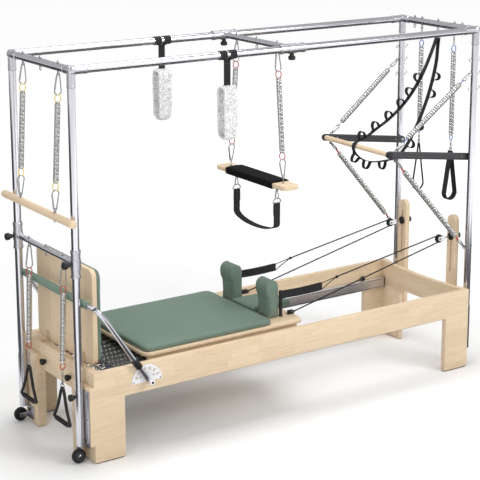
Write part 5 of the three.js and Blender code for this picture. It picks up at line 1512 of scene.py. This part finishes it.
def laid_seam(tree, path, closed, radius):
    """A seam's points drawn onto a pad's skin and evened out."""
    last = len(path) - 1
    for _ in range(3):
        path = [tree.find_nearest(point)[0] for point in path]
        path = [point if not closed and k in (0, last)
                else (path[k - 1] + point * 2 + path[(k + 1) % (last + 1)]) / 4 for k, point in enumerate(path)]
    laid = [tree.find_nearest(point) for point in path]
    return [place + normal * (radius * 0.3) for place, normal, _, _ in laid]


def build_pad(node, voxel, body, name, seams_for):
    """A soft pad with its seams, which stands for its frame node."""
    low, high = (Vector(corner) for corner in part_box(node))
    pad = soft_copy(node, voxel)
    for vertex in pad.data.vertices:
        for axis in range(3):
            vertex.co[axis] = max(low[axis] - BOX_SPARE, min(high[axis] + BOX_SPARE, vertex.co[axis]))
    divide = pad.modifiers.new("fine", "SUBSURF")
    divide.levels = 1
    divide.render_levels = divide.levels
    bake(pad)
    shape = Shape()
    skin = pad.data
    bpy.data.objects.remove(pad)
    tree = BVHTree.FromPolygons([v.co for v in skin.vertices], [tuple(face.vertices) for face in skin.polygons])
    shape.take(skin, "vinyl")
    for path, closed, radius in seams_for(low, high):
        shape.cord(laid_seam(tree, path, closed, radius), radius, 8, "vinyl", Z_AXIS, closed=closed)
    piece = make_piece(shape, name, body, node, sharp=180)


def edge_seams(*rows):
    """Closed seams round a pad's edge: corner, height from the bottom or, below zero, the top, growth, radius."""
    def seams(low, high):
        middle = (low + high) / 2
        made = []
        for corner, lift, grow, radius in rows:
            z = low.z + lift if lift > 0 else high.z + lift
            outline = rounded_outline((high.x - low.x) / 2 + grow, (high.y - low.y) / 2 + grow, corner)
            made.append(([Vector((middle.x + u, middle.y + v, z)) for u, v in outline], True, radius))
        return made
    return seams


def build_carriage():
    shape = Shape()
    front, back = -0.885, 0.085
    shape.plate(rounded_outline((back - front) / 2, 0.322, 0.040), 0.018, "wood_x",
                Matrix.Translation(at((back + front) / 2, 0, 0.473)))
    for sign in (-1, 1):
        shape.box(at(-0.855, sign * 0.280, 0.372), at(0.055, sign * 0.300, 0.4645), "wood_x", 0.0015)
        y = sign * 0.215
        shape.lathe(at(0.008, y, BOARD_TOP - 0.0005), Z_AXIS,
                    [(0, 13.5), (2, 13.5), (4, 10), (6, 9), (132, 9), (134, 10), (139, 10), (142.5, 7)], "black", 24)
        base = at(0.0735, y, BOARD_TOP)
        shape.box(base + Vector((-0.0235, -0.009, -0.0004)), base + Vector((0.0205, 0.009, 0.005)), "black")
        for way in (-1, 1):
            cheek = base + Vector((0, way * 0.0065, 0))
            shape.box(cheek + Vector((-0.017, -0.0018, 0.0045)), cheek + Vector((0.016, 0.0018, 0.021)), "black")
        for x, finish in ((-0.007, "black"), (0.009, "chrome")):
            shape.lathe(base + Vector((x, -0.0085, 0.0125)), Y_AXIS,
                        [(0, 2), (0.6, 4.2), (2, 6.8), (14.5, 6.8), (16.5, 4.2), (17, 2)], finish, 20)
        set_out(shape, SCREW, [(base + Vector((x, 0, 0.005)), Z_AXIS) for x in (-0.019, 0.0175)], size=0.7)
    make_piece(shape, "carriage_wood", "carriage", "carriage_board")
    build_pad("carriage_pad", 0.008, "carriage", "carriage_cushion",
              edge_seams((0.040, 0.0035, 0.0004, 0.0016), (0.038, -0.0085, -0.0002, 0.0014)))
    build_pad("headrest", 0.004, "headrest", "headrest_cushion",
              edge_seams((0.010, 0.0095, 0.0006, 0.0014), (0.012, -0.0075, -0.0006, 0.0013)))
    for side in SIDES:
        node = f"shoulder_rest_{side}"
        build_pad(node, 0.004, node, f"{node}_cushion", shoulder_seams)


def shoulder_seams(low, high):
    """Open seams along both edges of a shoulder rest: up its back, over its lobe and down its front."""
    bottom, back, front, lobe, hook = low.z, -0.008, -0.074, 0.038, 0.014
    lobe_z, lobe_x = bottom + 0.206 - lobe, front - hook + lobe
    profile = [(back, bottom + z) for z in (0.001, 0.05, 0.11)] + [(back, lobe_z)]
    profile += arc(lobe, 0, 180, 12, (lobe_x, lobe_z))[1:]
    for k in range(1, 7):
        t = k / 6
        first, second, third = (1 - t) ** 2, 2 * t * (1 - t), t * t
        profile.append(((first + second) * (front - hook) + third * front,
                        first * lobe_z + second * (lobe_z - lobe) + third * (lobe_z - 0.057)))
    profile += [(front, bottom + 0.06), (front, bottom + 0.001)]
    return [([at(x, y, z) for x, z in profile], False, 0.0016) for y in (low.y + 0.004, high.y - 0.004)]


def build_wheels():
    for name, x in (("foot", -0.800), ("head", 0.010)):
        shape = Shape()
        z = 0.3843
        shape.rod(at(x, -0.325, z), at(x, 0.325, z), 0.006, "chrome", 20)
        for sign in (-1, 1):
            out = Y_AXIS * sign
            shape.lathe(at(x, sign * 0.3242, z), out,
                        [(0, 6.2), (0.2, 10), (2, 10.5), (2.5, 16.5), (0.8, 18), (0.4, 20.5), (2, 22), (15.8, 22),
                         (17.4, 20.5), (17, 18), (15.2, 16.5), (15.6, 10.5), (17.6, 10), (17.7, 3)], "black", 40)
            shape.lathe(at(x, sign * 0.3400, z), out, [(0, 6), (1.6, 5.8), (2.2, 3)], "chrome", 20)
        make_piece(shape, f"wheel_pair_{name}", f"{name}_wheels", f"wheelset_{name}")


# Ropes and pulleys
PULLEY_X = 1.108
PULLEY_Z = 0.735
ROPE_RING = 0.0195
KNOT = (0.381, 0.635)
CLEAT = (0.100, 0.493)
HAND_LOOP_Z = 0.600


def rope_route(y):
    """From the knot over the pulley to the cleat, with tangents to the pulley's groove."""
    def tangent(x, z, way):
        toward = math.atan2(z - PULLEY_Z, x - PULLEY_X)
        return math.degrees(toward + way * math.acos(ROPE_RING / math.hypot(x - PULLEY_X, z - PULLEY_Z)))

    high, low = tangent(*KNOT, -1), tangent(*CLEAT, 1)
    if low > high:
        low -= 360
    over = [at(x, y, z) for x, z in arc(ROPE_RING, high, low, 24, (PULLEY_X, PULLEY_Z))]
    first, last = (at(x, y, z) for x, z in (KNOT, CLEAT))
    steps = [first.lerp(over[0], k / 12) for k in range(12)]
    return steps + over + [over[-1].lerp(last, k / 14) for k in range(1, 15)]


def hand_loop(y):
    """The padded hand loop lying open, with a slight sag between its ends."""
    turn = 0.0085
    ends = arc(turn, -90, 90, 10, (0.270, y)) + arc(turn, 90, 270, 10, (0.008, y))
    band = [at(x, v, HAND_LOOP_Z) for x, v in ends]
    dense = []
    for k, point in enumerate(band):
        after = band[(k + 1) % len(band)]
        parts = max(1, round((after - point).length / 0.02))
        for j in range(parts):
            place = point.lerp(after, j / parts)
            run = (place.x - BED_MIDDLE - 0.008) / 0.262
            place.z -= 0.004 * math.sin(math.pi * max(0, min(1, run)))
            dense.append(place)
    return dense


def build_ropes():
    for side, sign in SIDES.items():
        y = sign * 0.215
        shape = Shape()
        shape.cord(rope_route(y), 0.0035, 12, "rope", Y_AXIS)
        knot = at(KNOT[0], y, KNOT[1])
        for k in (-1, 0, 1):
            normal = Vector((1, 0.35 * k, 0.5 * k + 0.137)).normalized()
            shape.ring(knot + X_AXIS * (0.0034 * k), normal, 0.0052, 0.0030, "rope", 20)
        tip = 0.2785
        for z in (HAND_LOOP_Z + 0.0165, HAND_LOOP_Z - 0.0165):
            shape.cord([at(tip - 0.004, y, z), at(tip + 0.004, y, z), knot.lerp(at(tip, y, z), 0.5), knot],
                       0.0024, 8, "rope", Y_AXIS, 8)
            shape.rod(at(tip - 0.001, y, z - 0.004), at(tip - 0.001, y, z + 0.004), 0.0033, "chrome", 12)
        shape.strap(hand_loop(y), 0.038, 0.0030, Z_AXIS, closed=True)
        for x in (0.045, 0.238):
            for way in (-1, 1):
                stitch = [at(x, y + way * 0.0102, HAND_LOOP_Z + v / 1000) for v in range(-17, 14, 5)]
                shape.stitches(stitch, X_AXIS)
        shape.lathe(at(CLEAT[0] + 0.002, y, CLEAT[1]), -X_AXIS, [(0, 4), (1, 5.2), (6, 5.2), (7, 4)], "black", 16)
        piece = make_piece(shape, f"rope_line_{side}", None, f"rope_{side}")
        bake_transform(piece)


def build_pulleys():
    for side, sign in SIDES.items():
        y = sign * 0.215
        shape = Shape()
        shape.lathe(at(PULLEY_X, y - 0.007, PULLEY_Z), Y_AXIS,
                    [(0, 4.6), (0, 12), (1.2, 13), (1.2, 19.5), (0, 21.5), (0, 23.6), (1.2, 24), (3.6, 16), (5.2, 15),
                     (8.8, 15), (10.4, 16), (12.8, 24), (14, 23.6), (14, 21.5), (12.8, 19.5), (12.8, 13), (14, 12),
                     (14, 4.6)], "black", 48)
        make_piece(shape, f"pulley_rim_{side}", f"pulley_wheel_{side}", f"pulley_wheel_{side}")
        shape = Shape()
        half = 0.0128
        cheek = [(-0.0005 + u * 0.9, v) for u, v in arc(half, 90, 270, 12)] + [(0.0395, -half), (0.0395, half)]
        for way in (-1, 1):
            shape.plate(cheek, 0.003, "white_plate",
                        axes(X_AXIS, Z_AXIS, -Y_AXIS, at(PULLEY_X, y + way * 0.0105, PULLEY_Z)), 0.0006)
            shape.lathe(at(PULLEY_X, y + way * 0.0118, PULLEY_Z), Y_AXIS * way,
                        [(0, 6.2), (0.8, 6.2), (1.6, 5.2), (2, 2)], "chrome", 24)
        shape.rod(at(PULLEY_X, y - 0.0115, PULLEY_Z), at(PULLEY_X, y + 0.0115, PULLEY_Z), 0.004, "chrome", 16)
        shape.box(at(PULLEY_X + 0.029, y - 0.0118, PULLEY_Z - half),
                  at(PULLEY_X + 0.0396, y + 0.0118, PULLEY_Z + half), "white_plate")
        shape.rod(at(PULLEY_X + 0.038, y, PULLEY_Z), at(1.246, y, PULLEY_Z), 0.0045, "chrome", 20)
        shape.lathe(at(1.188, y, PULLEY_Z), X_AXIS,
                    [(0, 6), (0, 15), (2, 19), (4.5, 19.5), (5.5, 22.5), (11.2, 22.5), (11.7, 21.5), (11.7, 4.7)],
                    "black", 40)
        star_knob(shape, at(1.2284, y, PULLEY_Z), X_AXIS, 0.018, 0.033)
        make_piece(shape, f"pulley_cheeks_{side}", "frame", f"pulley_block_{side}")


# Carriage springs
def build_bed_springs():
    shape = Shape()
    z, x0, x1, spacing, radius = 0.412, -1.075, -0.420, 0.0535, 0.0205
    colours = ("blue", "white_plate", "red", "blue", "red", "red", "blue", "white_plate", "red", "blue")
    for k, colour in enumerate(colours):
        y = (k - 4.5) * spacing
        start, end = at(x0 + 0.034, y, z), at(x1 - 0.034, y, z)
        coil(shape, start, end, radius, radius, round((end - start).length / 0.0066), 0.0030, "dark_steel")
        for place, way in ((start, -1), (end, 1)):
            coil(shape, place, place + X_AXIS * (way * 0.014), radius, 0.0080, 2.5, 0.0028, "dark_steel", 14, 6)
        star_knob(shape, at(x0 + 0.020, y, z), X_AXIS, 0.0175, 0.014, colour)
        shape.ring(at(x0 + 0.002, y, z), Y_AXIS, 0.0125, 0.0028, "chrome", 28, 10, X_AXIS * 0.012)
        shape.lathe(at(x1 - 0.022, y, z), X_AXIS, [(0, 5), (2, 7.5), (16, 7), (22, 2)], "black", 20)
    shape.rod(at(x0, -0.3474, z), at(x0, 0.3474, z), 0.009, "tube_y", 32)
    piece = make_piece(shape, "carriage_coils", None, "carriage_springs")
    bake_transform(piece)


# Footbar and jump board
def build_footbar():
    bends = [(-0.905, 0.398, 0.372), (-1.000, 0.398, 0.510), (-1.090, 0.398, 0.645), (-1.148, 0.396, 0.733),
             (-1.182, 0.384, 0.777), (-1.199, 0.360, 0.791), (-1.203, 0.335, 0.793)]
    shape = Shape()
    route = [at(x, -y, z) for x, y, z in bends] + [at(*bend) for bend in reversed(bends)]
    shape.cord(route, 0.013, 32, "tube_x", Y_AXIS, 10)
    shape.lathe(at(-1.203, -0.335, 0.793), Y_AXIS,
                [(0, 13.5), (0.8, 17.2), (3, 18.8), (6, 19.1),
                 (664, 19.1), (667, 18.8), (669.2, 17.2), (670, 13.5)], "foam", 44)
    for sign in (-1, 1):
        out = Y_AXIS * sign
        pivot = at(-0.905, sign * 0.3834, 0.372)
        shape.lathe(pivot, out, [(0, 7), (0, 12.5), (8, 13), (24, 13.5), (36, 13), (39.5, 12)], "tube_y", 36)
        shape.lathe(pivot + out * 0.0390, out,
                    [(0, 12.2), (0.8, 13.6), (6.2, 13.6), (7.4, 12.2), (7.4, 7), (6, 6.6), (5.8, 2)], "white_plate", 36)
        shape.lathe(pivot + out * 0.0446, out, [(0, 6.4), (1.6, 6.4), (2.2, 4)], "black", 24)
        low = at(-0.905, sign * 0.398, 0.372)
        along = (at(-1.0, sign * 0.398, 0.510) - low).normalized()
        shape.lathe(low + along * 0.098, along, [(0, 13.2), (1, 17.2), (4, 18), (50, 18), (54, 16.8), (56, 13.2)],
                    "black", 36)
        shape.plate(rounded_outline(0.052, 0.0110, 0.0105), 0.006, "graphite",
                    axes(along, Y_AXIS.cross(along), Y_AXIS, low + along * 0.043 - out * 0.0103), 0.001)
    make_piece(shape, "footbar_tube", "footbar", "footbar")
    x, z = -0.910, 0.366
    slots = []
    for c, s in arc(1, 26, 154, 5):
        slots.append([((0.066 + u) * c - v * s, (0.066 + u) * s + v * c)
                      for u, v in rounded_outline(0.0095, 0.0048, 0.0044, 5)])
    heads = arc(0.046, 38, 142, 2, (x, z)) + [(x + 0.076, z + 0.008), (x - 0.076, z + 0.008), (x, z + 0.008)]
    for side, sign in SIDES.items():
        shape = Shape()
        shape.plate(arc(0.086, 0, 180, 40), 0.0040, "white_plate",
                    axes(X_AXIS, Z_AXIS, -Y_AXIS, at(x, sign * 0.3803, z)), 0.0006, slots)
        set_out(shape, SCREW, [(at(u, sign * 0.3823, w), Y_AXIS * sign) for u, w in heads], size=0.9)
        make_piece(shape, f"quadrant_plate_{side}", "frame", f"footbar_plate_{side}")


def build_jump_board():
    shape = Shape()
    shape.plate(rounded_outline(0.296, 0.240, 0.038), 0.025, "wood_board",
                axes(Y_AXIS, Z_AXIS, X_AXIS, at(-1.1425, 0, 0.705)))
    hook = [(-1.1990, 0.4634), (-1.180, 0.4634), (-1.1635, 0.4634), (-1.1585, 0.4655),
            (-1.1572, 0.470), (-1.1572, 0.485), (-1.1572, 0.5100)]
    heads = []
    for y in (-0.190, 0.190):
        shape.strap([at(x, y, z) for x, z in hook], 0.036, 0.0036, Y_AXIS, finish="hook_paint")
        shape.box(at(-1.1590, y - 0.018, 0.4115), at(-1.1512, y + 0.018, 0.4640), "hook_paint", 0.001)
        heads += [(at(-1.1590, y + w, z), -X_AXIS) for w in (-0.011, 0.011) for z in (0.480, 0.504)]
    set_out(shape, SCREW, heads, "hook_paint", 0.8)
    bolts = [(at(-1.1549, y, z), -X_AXIS) for y in (-0.205, 0.205) for z in (0.60, 0.86)]
    set_out(shape, INDEX_HOLE, bolts, "black", 1.3)
    make_piece(shape, "jump_board_wood", "jump_board", "jump_board")
    build_pad("jump_board_pad", 0.005, "jump_board", "jump_board_cushion", jump_board_seams)


def jump_board_seams(low, high):
    """Closed seams round the upright pad's edge, near its back and its front."""
    middle = (low + high) / 2
    seams = []
    for x, grow, radius in ((low.x + 0.0035, 0.0004, 0.0016), (high.x - 0.0085, -0.0002, 0.0014)):
        outline = rounded_outline((high.y - low.y) / 2 + grow, (high.z - low.z) / 2 + grow, 0.038)
        seams.append(([Vector((x, middle.y + u, middle.z + v)) for u, v in outline], True, radius))
    return seams


# Stage
def build_stage():
    size = settings("stage")
    reach = 30.0
    corners = [(x * reach, y * reach, 0) for x, y in ((-1, -1), (1, -1), (1, 1), (-1, 1))]
    stage_sheet("studio_floor", material("floor"), corners)
    world = bpy.data.worlds.new("studio_world")
    world.use_nodes = True
    background = world.node_tree.nodes["Background"]
    background.inputs[0].default_value = (1.0, 1.0, 1.0, 1)
    background.inputs[1].default_value = size.sky_strength
    bpy.context.scene.world = world
    bpy.context.scene.view_settings.view_transform = "Standard"
    for name, place, width, power in (("key_light", (3.2, -5.6, 4.4), 2.6, size.key_power),
                                      ("fill_light", (-4.4, -2.6, 3.6), 2.6, size.fill_power),
                                      ("top_light", (0.2, 0.4, 5.6), 3.0, size.top_power)):
        data = bpy.data.lights.new(name, "AREA")
        data.shape = "SQUARE"
        data.size = width
        data.energy = power
        light = new_object(name, data)
        light.location = at(*place)
        aim(light, at(0, 0, 0.7) - light.location)
    reflection_cards()
    data = bpy.data.cameras.new("photo_camera")
    data.lens = 110.79
    data.sensor_width = 36.0
    data.shift_x = -0.0040
    data.shift_y = -0.1458
    data.clip_end = 100.0
    camera = new_object("photo_camera", data)
    camera.location = at(-4.3367, -6.2726, 2.9890)
    yaw, pitch = 0.5948, -0.2261
    aim(camera, Vector((math.sin(yaw) * math.cos(pitch), math.cos(yaw) * math.cos(pitch), math.sin(pitch))))
    bpy.context.scene.camera = camera


def aim(holder, direction):
    """Turns a light or a camera to look along a direction."""
    holder.rotation_euler = direction.to_track_quat("-Z", "Y").to_euler()


def stage_sheet(name, dress, corners, hidden_from=()):
    """A flat sheet of the studio, hidden from some kinds of ray."""
    mesh = bpy.data.meshes.new(name)
    mesh.from_pydata(corners, [], [(0, 1, 2, 3)])
    mesh.materials.append(dress)
    sheet = new_object(name, mesh)
    for ray in hidden_from:
        setattr(sheet, "visible_" + ray, False)


def reflection_cards():
    """Dark cards on the floor, which only polished surfaces reflect."""
    cards = (("near_card", 0.07, (-1.3, -2.9), (3.8, 2.6), 0.0012),
             ("side_card", 0.05, (-10.0, -0.8), (-1.9, 12.0), 0.0008),
             ("back_card", 0.05, (-1.9, 1.4), (1.6, 12.0), 0.0010))
    for name, grey, low, high, height in cards:
        look = Finish(name)
        cloud = look.noise(look.place(), 1.0, 1.0)
        look.feed(colour=look.blotch(cloud, 0.1, 0.0, 1.0, (grey, grey, grey * 1.1), 0.96), rough=0.9)
        corners = ((low[0], low[1]), (high[0], low[1]), (high[0], high[1]), (low[0], high[1]))
        stage_sheet(name, look.material, [at(x, y, height) for x, y in corners],
                    ("camera", "diffuse", "transmission", "volume_scatter", "shadow"))


# Operators
class TABLE_OT_stage(bpy.types.Operator):
    """Sets the floor, the lights and the camera"""
    bl_idname = "table.stage"
    bl_label = "Stage"

    def execute(self, context):
        build_stage()
        return {"FINISHED"}


class TABLE_OT_bed(bpy.types.Operator):
    """Builds the wooden bed with its tracks"""
    bl_idname = "table.bed"
    bl_label = "Bed"

    def execute(self, context):
        build_bed()
        build_tracks()
        return {"FINISHED"}


class TABLE_OT_posts(bpy.types.Operator):
    """Builds the four posts with their sockets"""
    bl_idname = "table.posts"
    bl_label = "Posts"

    def execute(self, context):
        build_foot_posts()
        build_head_posts()
        return {"FINISHED"}


class TABLE_OT_top_frame(bpy.types.Operator):
    """Builds the top rails and crossbars"""
    bl_idname = "table.top_frame"
    bl_label = "Top frame"

    def execute(self, context):
        build_top_frame()
        return {"FINISHED"}


class TABLE_OT_casters(bpy.types.Operator):
    """Builds the caster wheels"""
    bl_idname = "table.casters"
    bl_label = "Casters"

    def execute(self, context):
        build_casters()
        return {"FINISHED"}


class TABLE_OT_rolldown(bpy.types.Operator):
    """Builds the roll-down bar and its springs"""
    bl_idname = "table.rolldown"
    bl_label = "Roll-down bar"

    def execute(self, context):
        build_rolldown()
        return {"FINISHED"}


class TABLE_OT_slider(bpy.types.Operator):
    """Builds the sliding crossbar with the handles on their springs"""
    bl_idname = "table.slider"
    bl_label = "Sliding crossbar"

    def execute(self, context):
        build_slider()
        build_handles()
        return {"FINISHED"}


class TABLE_OT_trapeze(bpy.types.Operator):
    """Builds the trapeze: crossbar, springs, padded seat and sling"""
    bl_idname = "table.trapeze"
    bl_label = "Trapeze"

    def execute(self, context):
        build_trapeze_crossbar()
        build_trapeze_springs()
        build_trapeze_seat()
        build_sling()
        return {"FINISHED"}


class TABLE_OT_push_bar(bpy.types.Operator):
    """Builds the push-through bar and its springs"""
    bl_idname = "table.push_bar"
    bl_label = "Push-through bar"

    def execute(self, context):
        build_push_bar()
        return {"FINISHED"}


class TABLE_OT_straps(bpy.types.Operator):
    """Builds the looped strap and the foot straps"""
    bl_idname = "table.straps"
    bl_label = "Straps"

    def execute(self, context):
        build_ladder()
        build_leg_straps()
        return {"FINISHED"}


class TABLE_OT_fleece(bpy.types.Operator):
    """Builds the fleece loops"""
    bl_idname = "table.fleece"
    bl_label = "Fleece loops"

    def execute(self, context):
        build_fleece()
        return {"FINISHED"}


class TABLE_OT_carriage(bpy.types.Operator):
    """Builds the carriage with its pads and wheels"""
    bl_idname = "table.carriage"
    bl_label = "Carriage"

    def execute(self, context):
        build_carriage()
        build_wheels()
        return {"FINISHED"}


class TABLE_OT_ropes(bpy.types.Operator):
    """Builds the ropes, hand loops and pulleys"""
    bl_idname = "table.ropes"
    bl_label = "Ropes"

    def execute(self, context):
        build_ropes()
        build_pulleys()
        return {"FINISHED"}


class TABLE_OT_bed_springs(bpy.types.Operator):
    """Builds the carriage springs and their bar"""
    bl_idname = "table.bed_springs"
    bl_label = "Carriage springs"

    def execute(self, context):
        build_bed_springs()
        return {"FINISHED"}


class TABLE_OT_footbar(bpy.types.Operator):
    """Builds the footbar and its quadrant plates"""
    bl_idname = "table.footbar"
    bl_label = "Footbar"

    def execute(self, context):
        build_footbar()
        return {"FINISHED"}


class TABLE_OT_jump_board(bpy.types.Operator):
    """Builds the jump board and its pad"""
    bl_idname = "table.jump_board"
    bl_label = "Jump board"

    def execute(self, context):
        build_jump_board()
        return {"FINISHED"}


OPERATORS = (
    TABLE_OT_stage, TABLE_OT_bed, TABLE_OT_posts, TABLE_OT_top_frame, TABLE_OT_casters, TABLE_OT_rolldown,
    TABLE_OT_slider, TABLE_OT_trapeze, TABLE_OT_push_bar, TABLE_OT_straps, TABLE_OT_fleece, TABLE_OT_carriage,
    TABLE_OT_ropes, TABLE_OT_bed_springs, TABLE_OT_footbar, TABLE_OT_jump_board,
)
SETTINGS = {"springs": TableSpringSettings, "finishes": TableFinishSettings, "pads": TablePadSettings,
            "stage": TableStageSettings}


class TABLE_PT_looks(bpy.types.Panel):
    """Lists the pieces of the table"""
    bl_idname = "TABLE_PT_looks"
    bl_label = "Trapeze Table"
    bl_space_type = "VIEW_3D"
    bl_region_type = "UI"
    bl_category = "Trapeze Table"

    def draw(self, context):
        for name in SETTINGS:
            box = self.layout.box()
            group = getattr(context.scene, "table_" + name)
            for key in group.bl_rna.properties.keys():
                if key not in ("rna_type", "name"):
                    box.prop(group, key)
        for operator in OPERATORS:
            self.layout.operator(operator.bl_idname)


def register():
    for name, kind in SETTINGS.items():
        bpy.utils.register_class(kind)
        setattr(bpy.types.Scene, "table_" + name, bpy.props.PointerProperty(type=kind))
    for kind in (*OPERATORS, TABLE_PT_looks):
        bpy.utils.register_class(kind)


def unregister():
    for kind in (TABLE_PT_looks, *reversed(OPERATORS)):
        bpy.utils.unregister_class(kind)
    for name, kind in SETTINGS.items():
        delattr(bpy.types.Scene, "table_" + name)
        bpy.utils.unregister_class(kind)


def clear_patterns():
    """Deletes the small parts that the trees copied."""
    for part in [item for item in bpy.data.objects if item.name.endswith("_pattern")]:
        data = part.data
        bpy.data.objects.remove(part)
        bpy.data.meshes.remove(data)


def main():
    register()
    bpy.ops.table.stage()
    bpy.ops.table.bed()
    bpy.ops.table.posts()
    bpy.ops.table.top_frame()
    bpy.ops.table.casters()
    bpy.ops.table.rolldown()
    bpy.ops.table.slider()
    bpy.ops.table.trapeze()
    bpy.ops.table.push_bar()
    bpy.ops.table.straps()
    bpy.ops.table.fleece()
    bpy.ops.table.carriage()
    bpy.ops.table.ropes()
    bpy.ops.table.bed_springs()
    bpy.ops.table.footbar()
    bpy.ops.table.jump_board()
    clear_patterns()


if __name__ == "__main__":
    main()
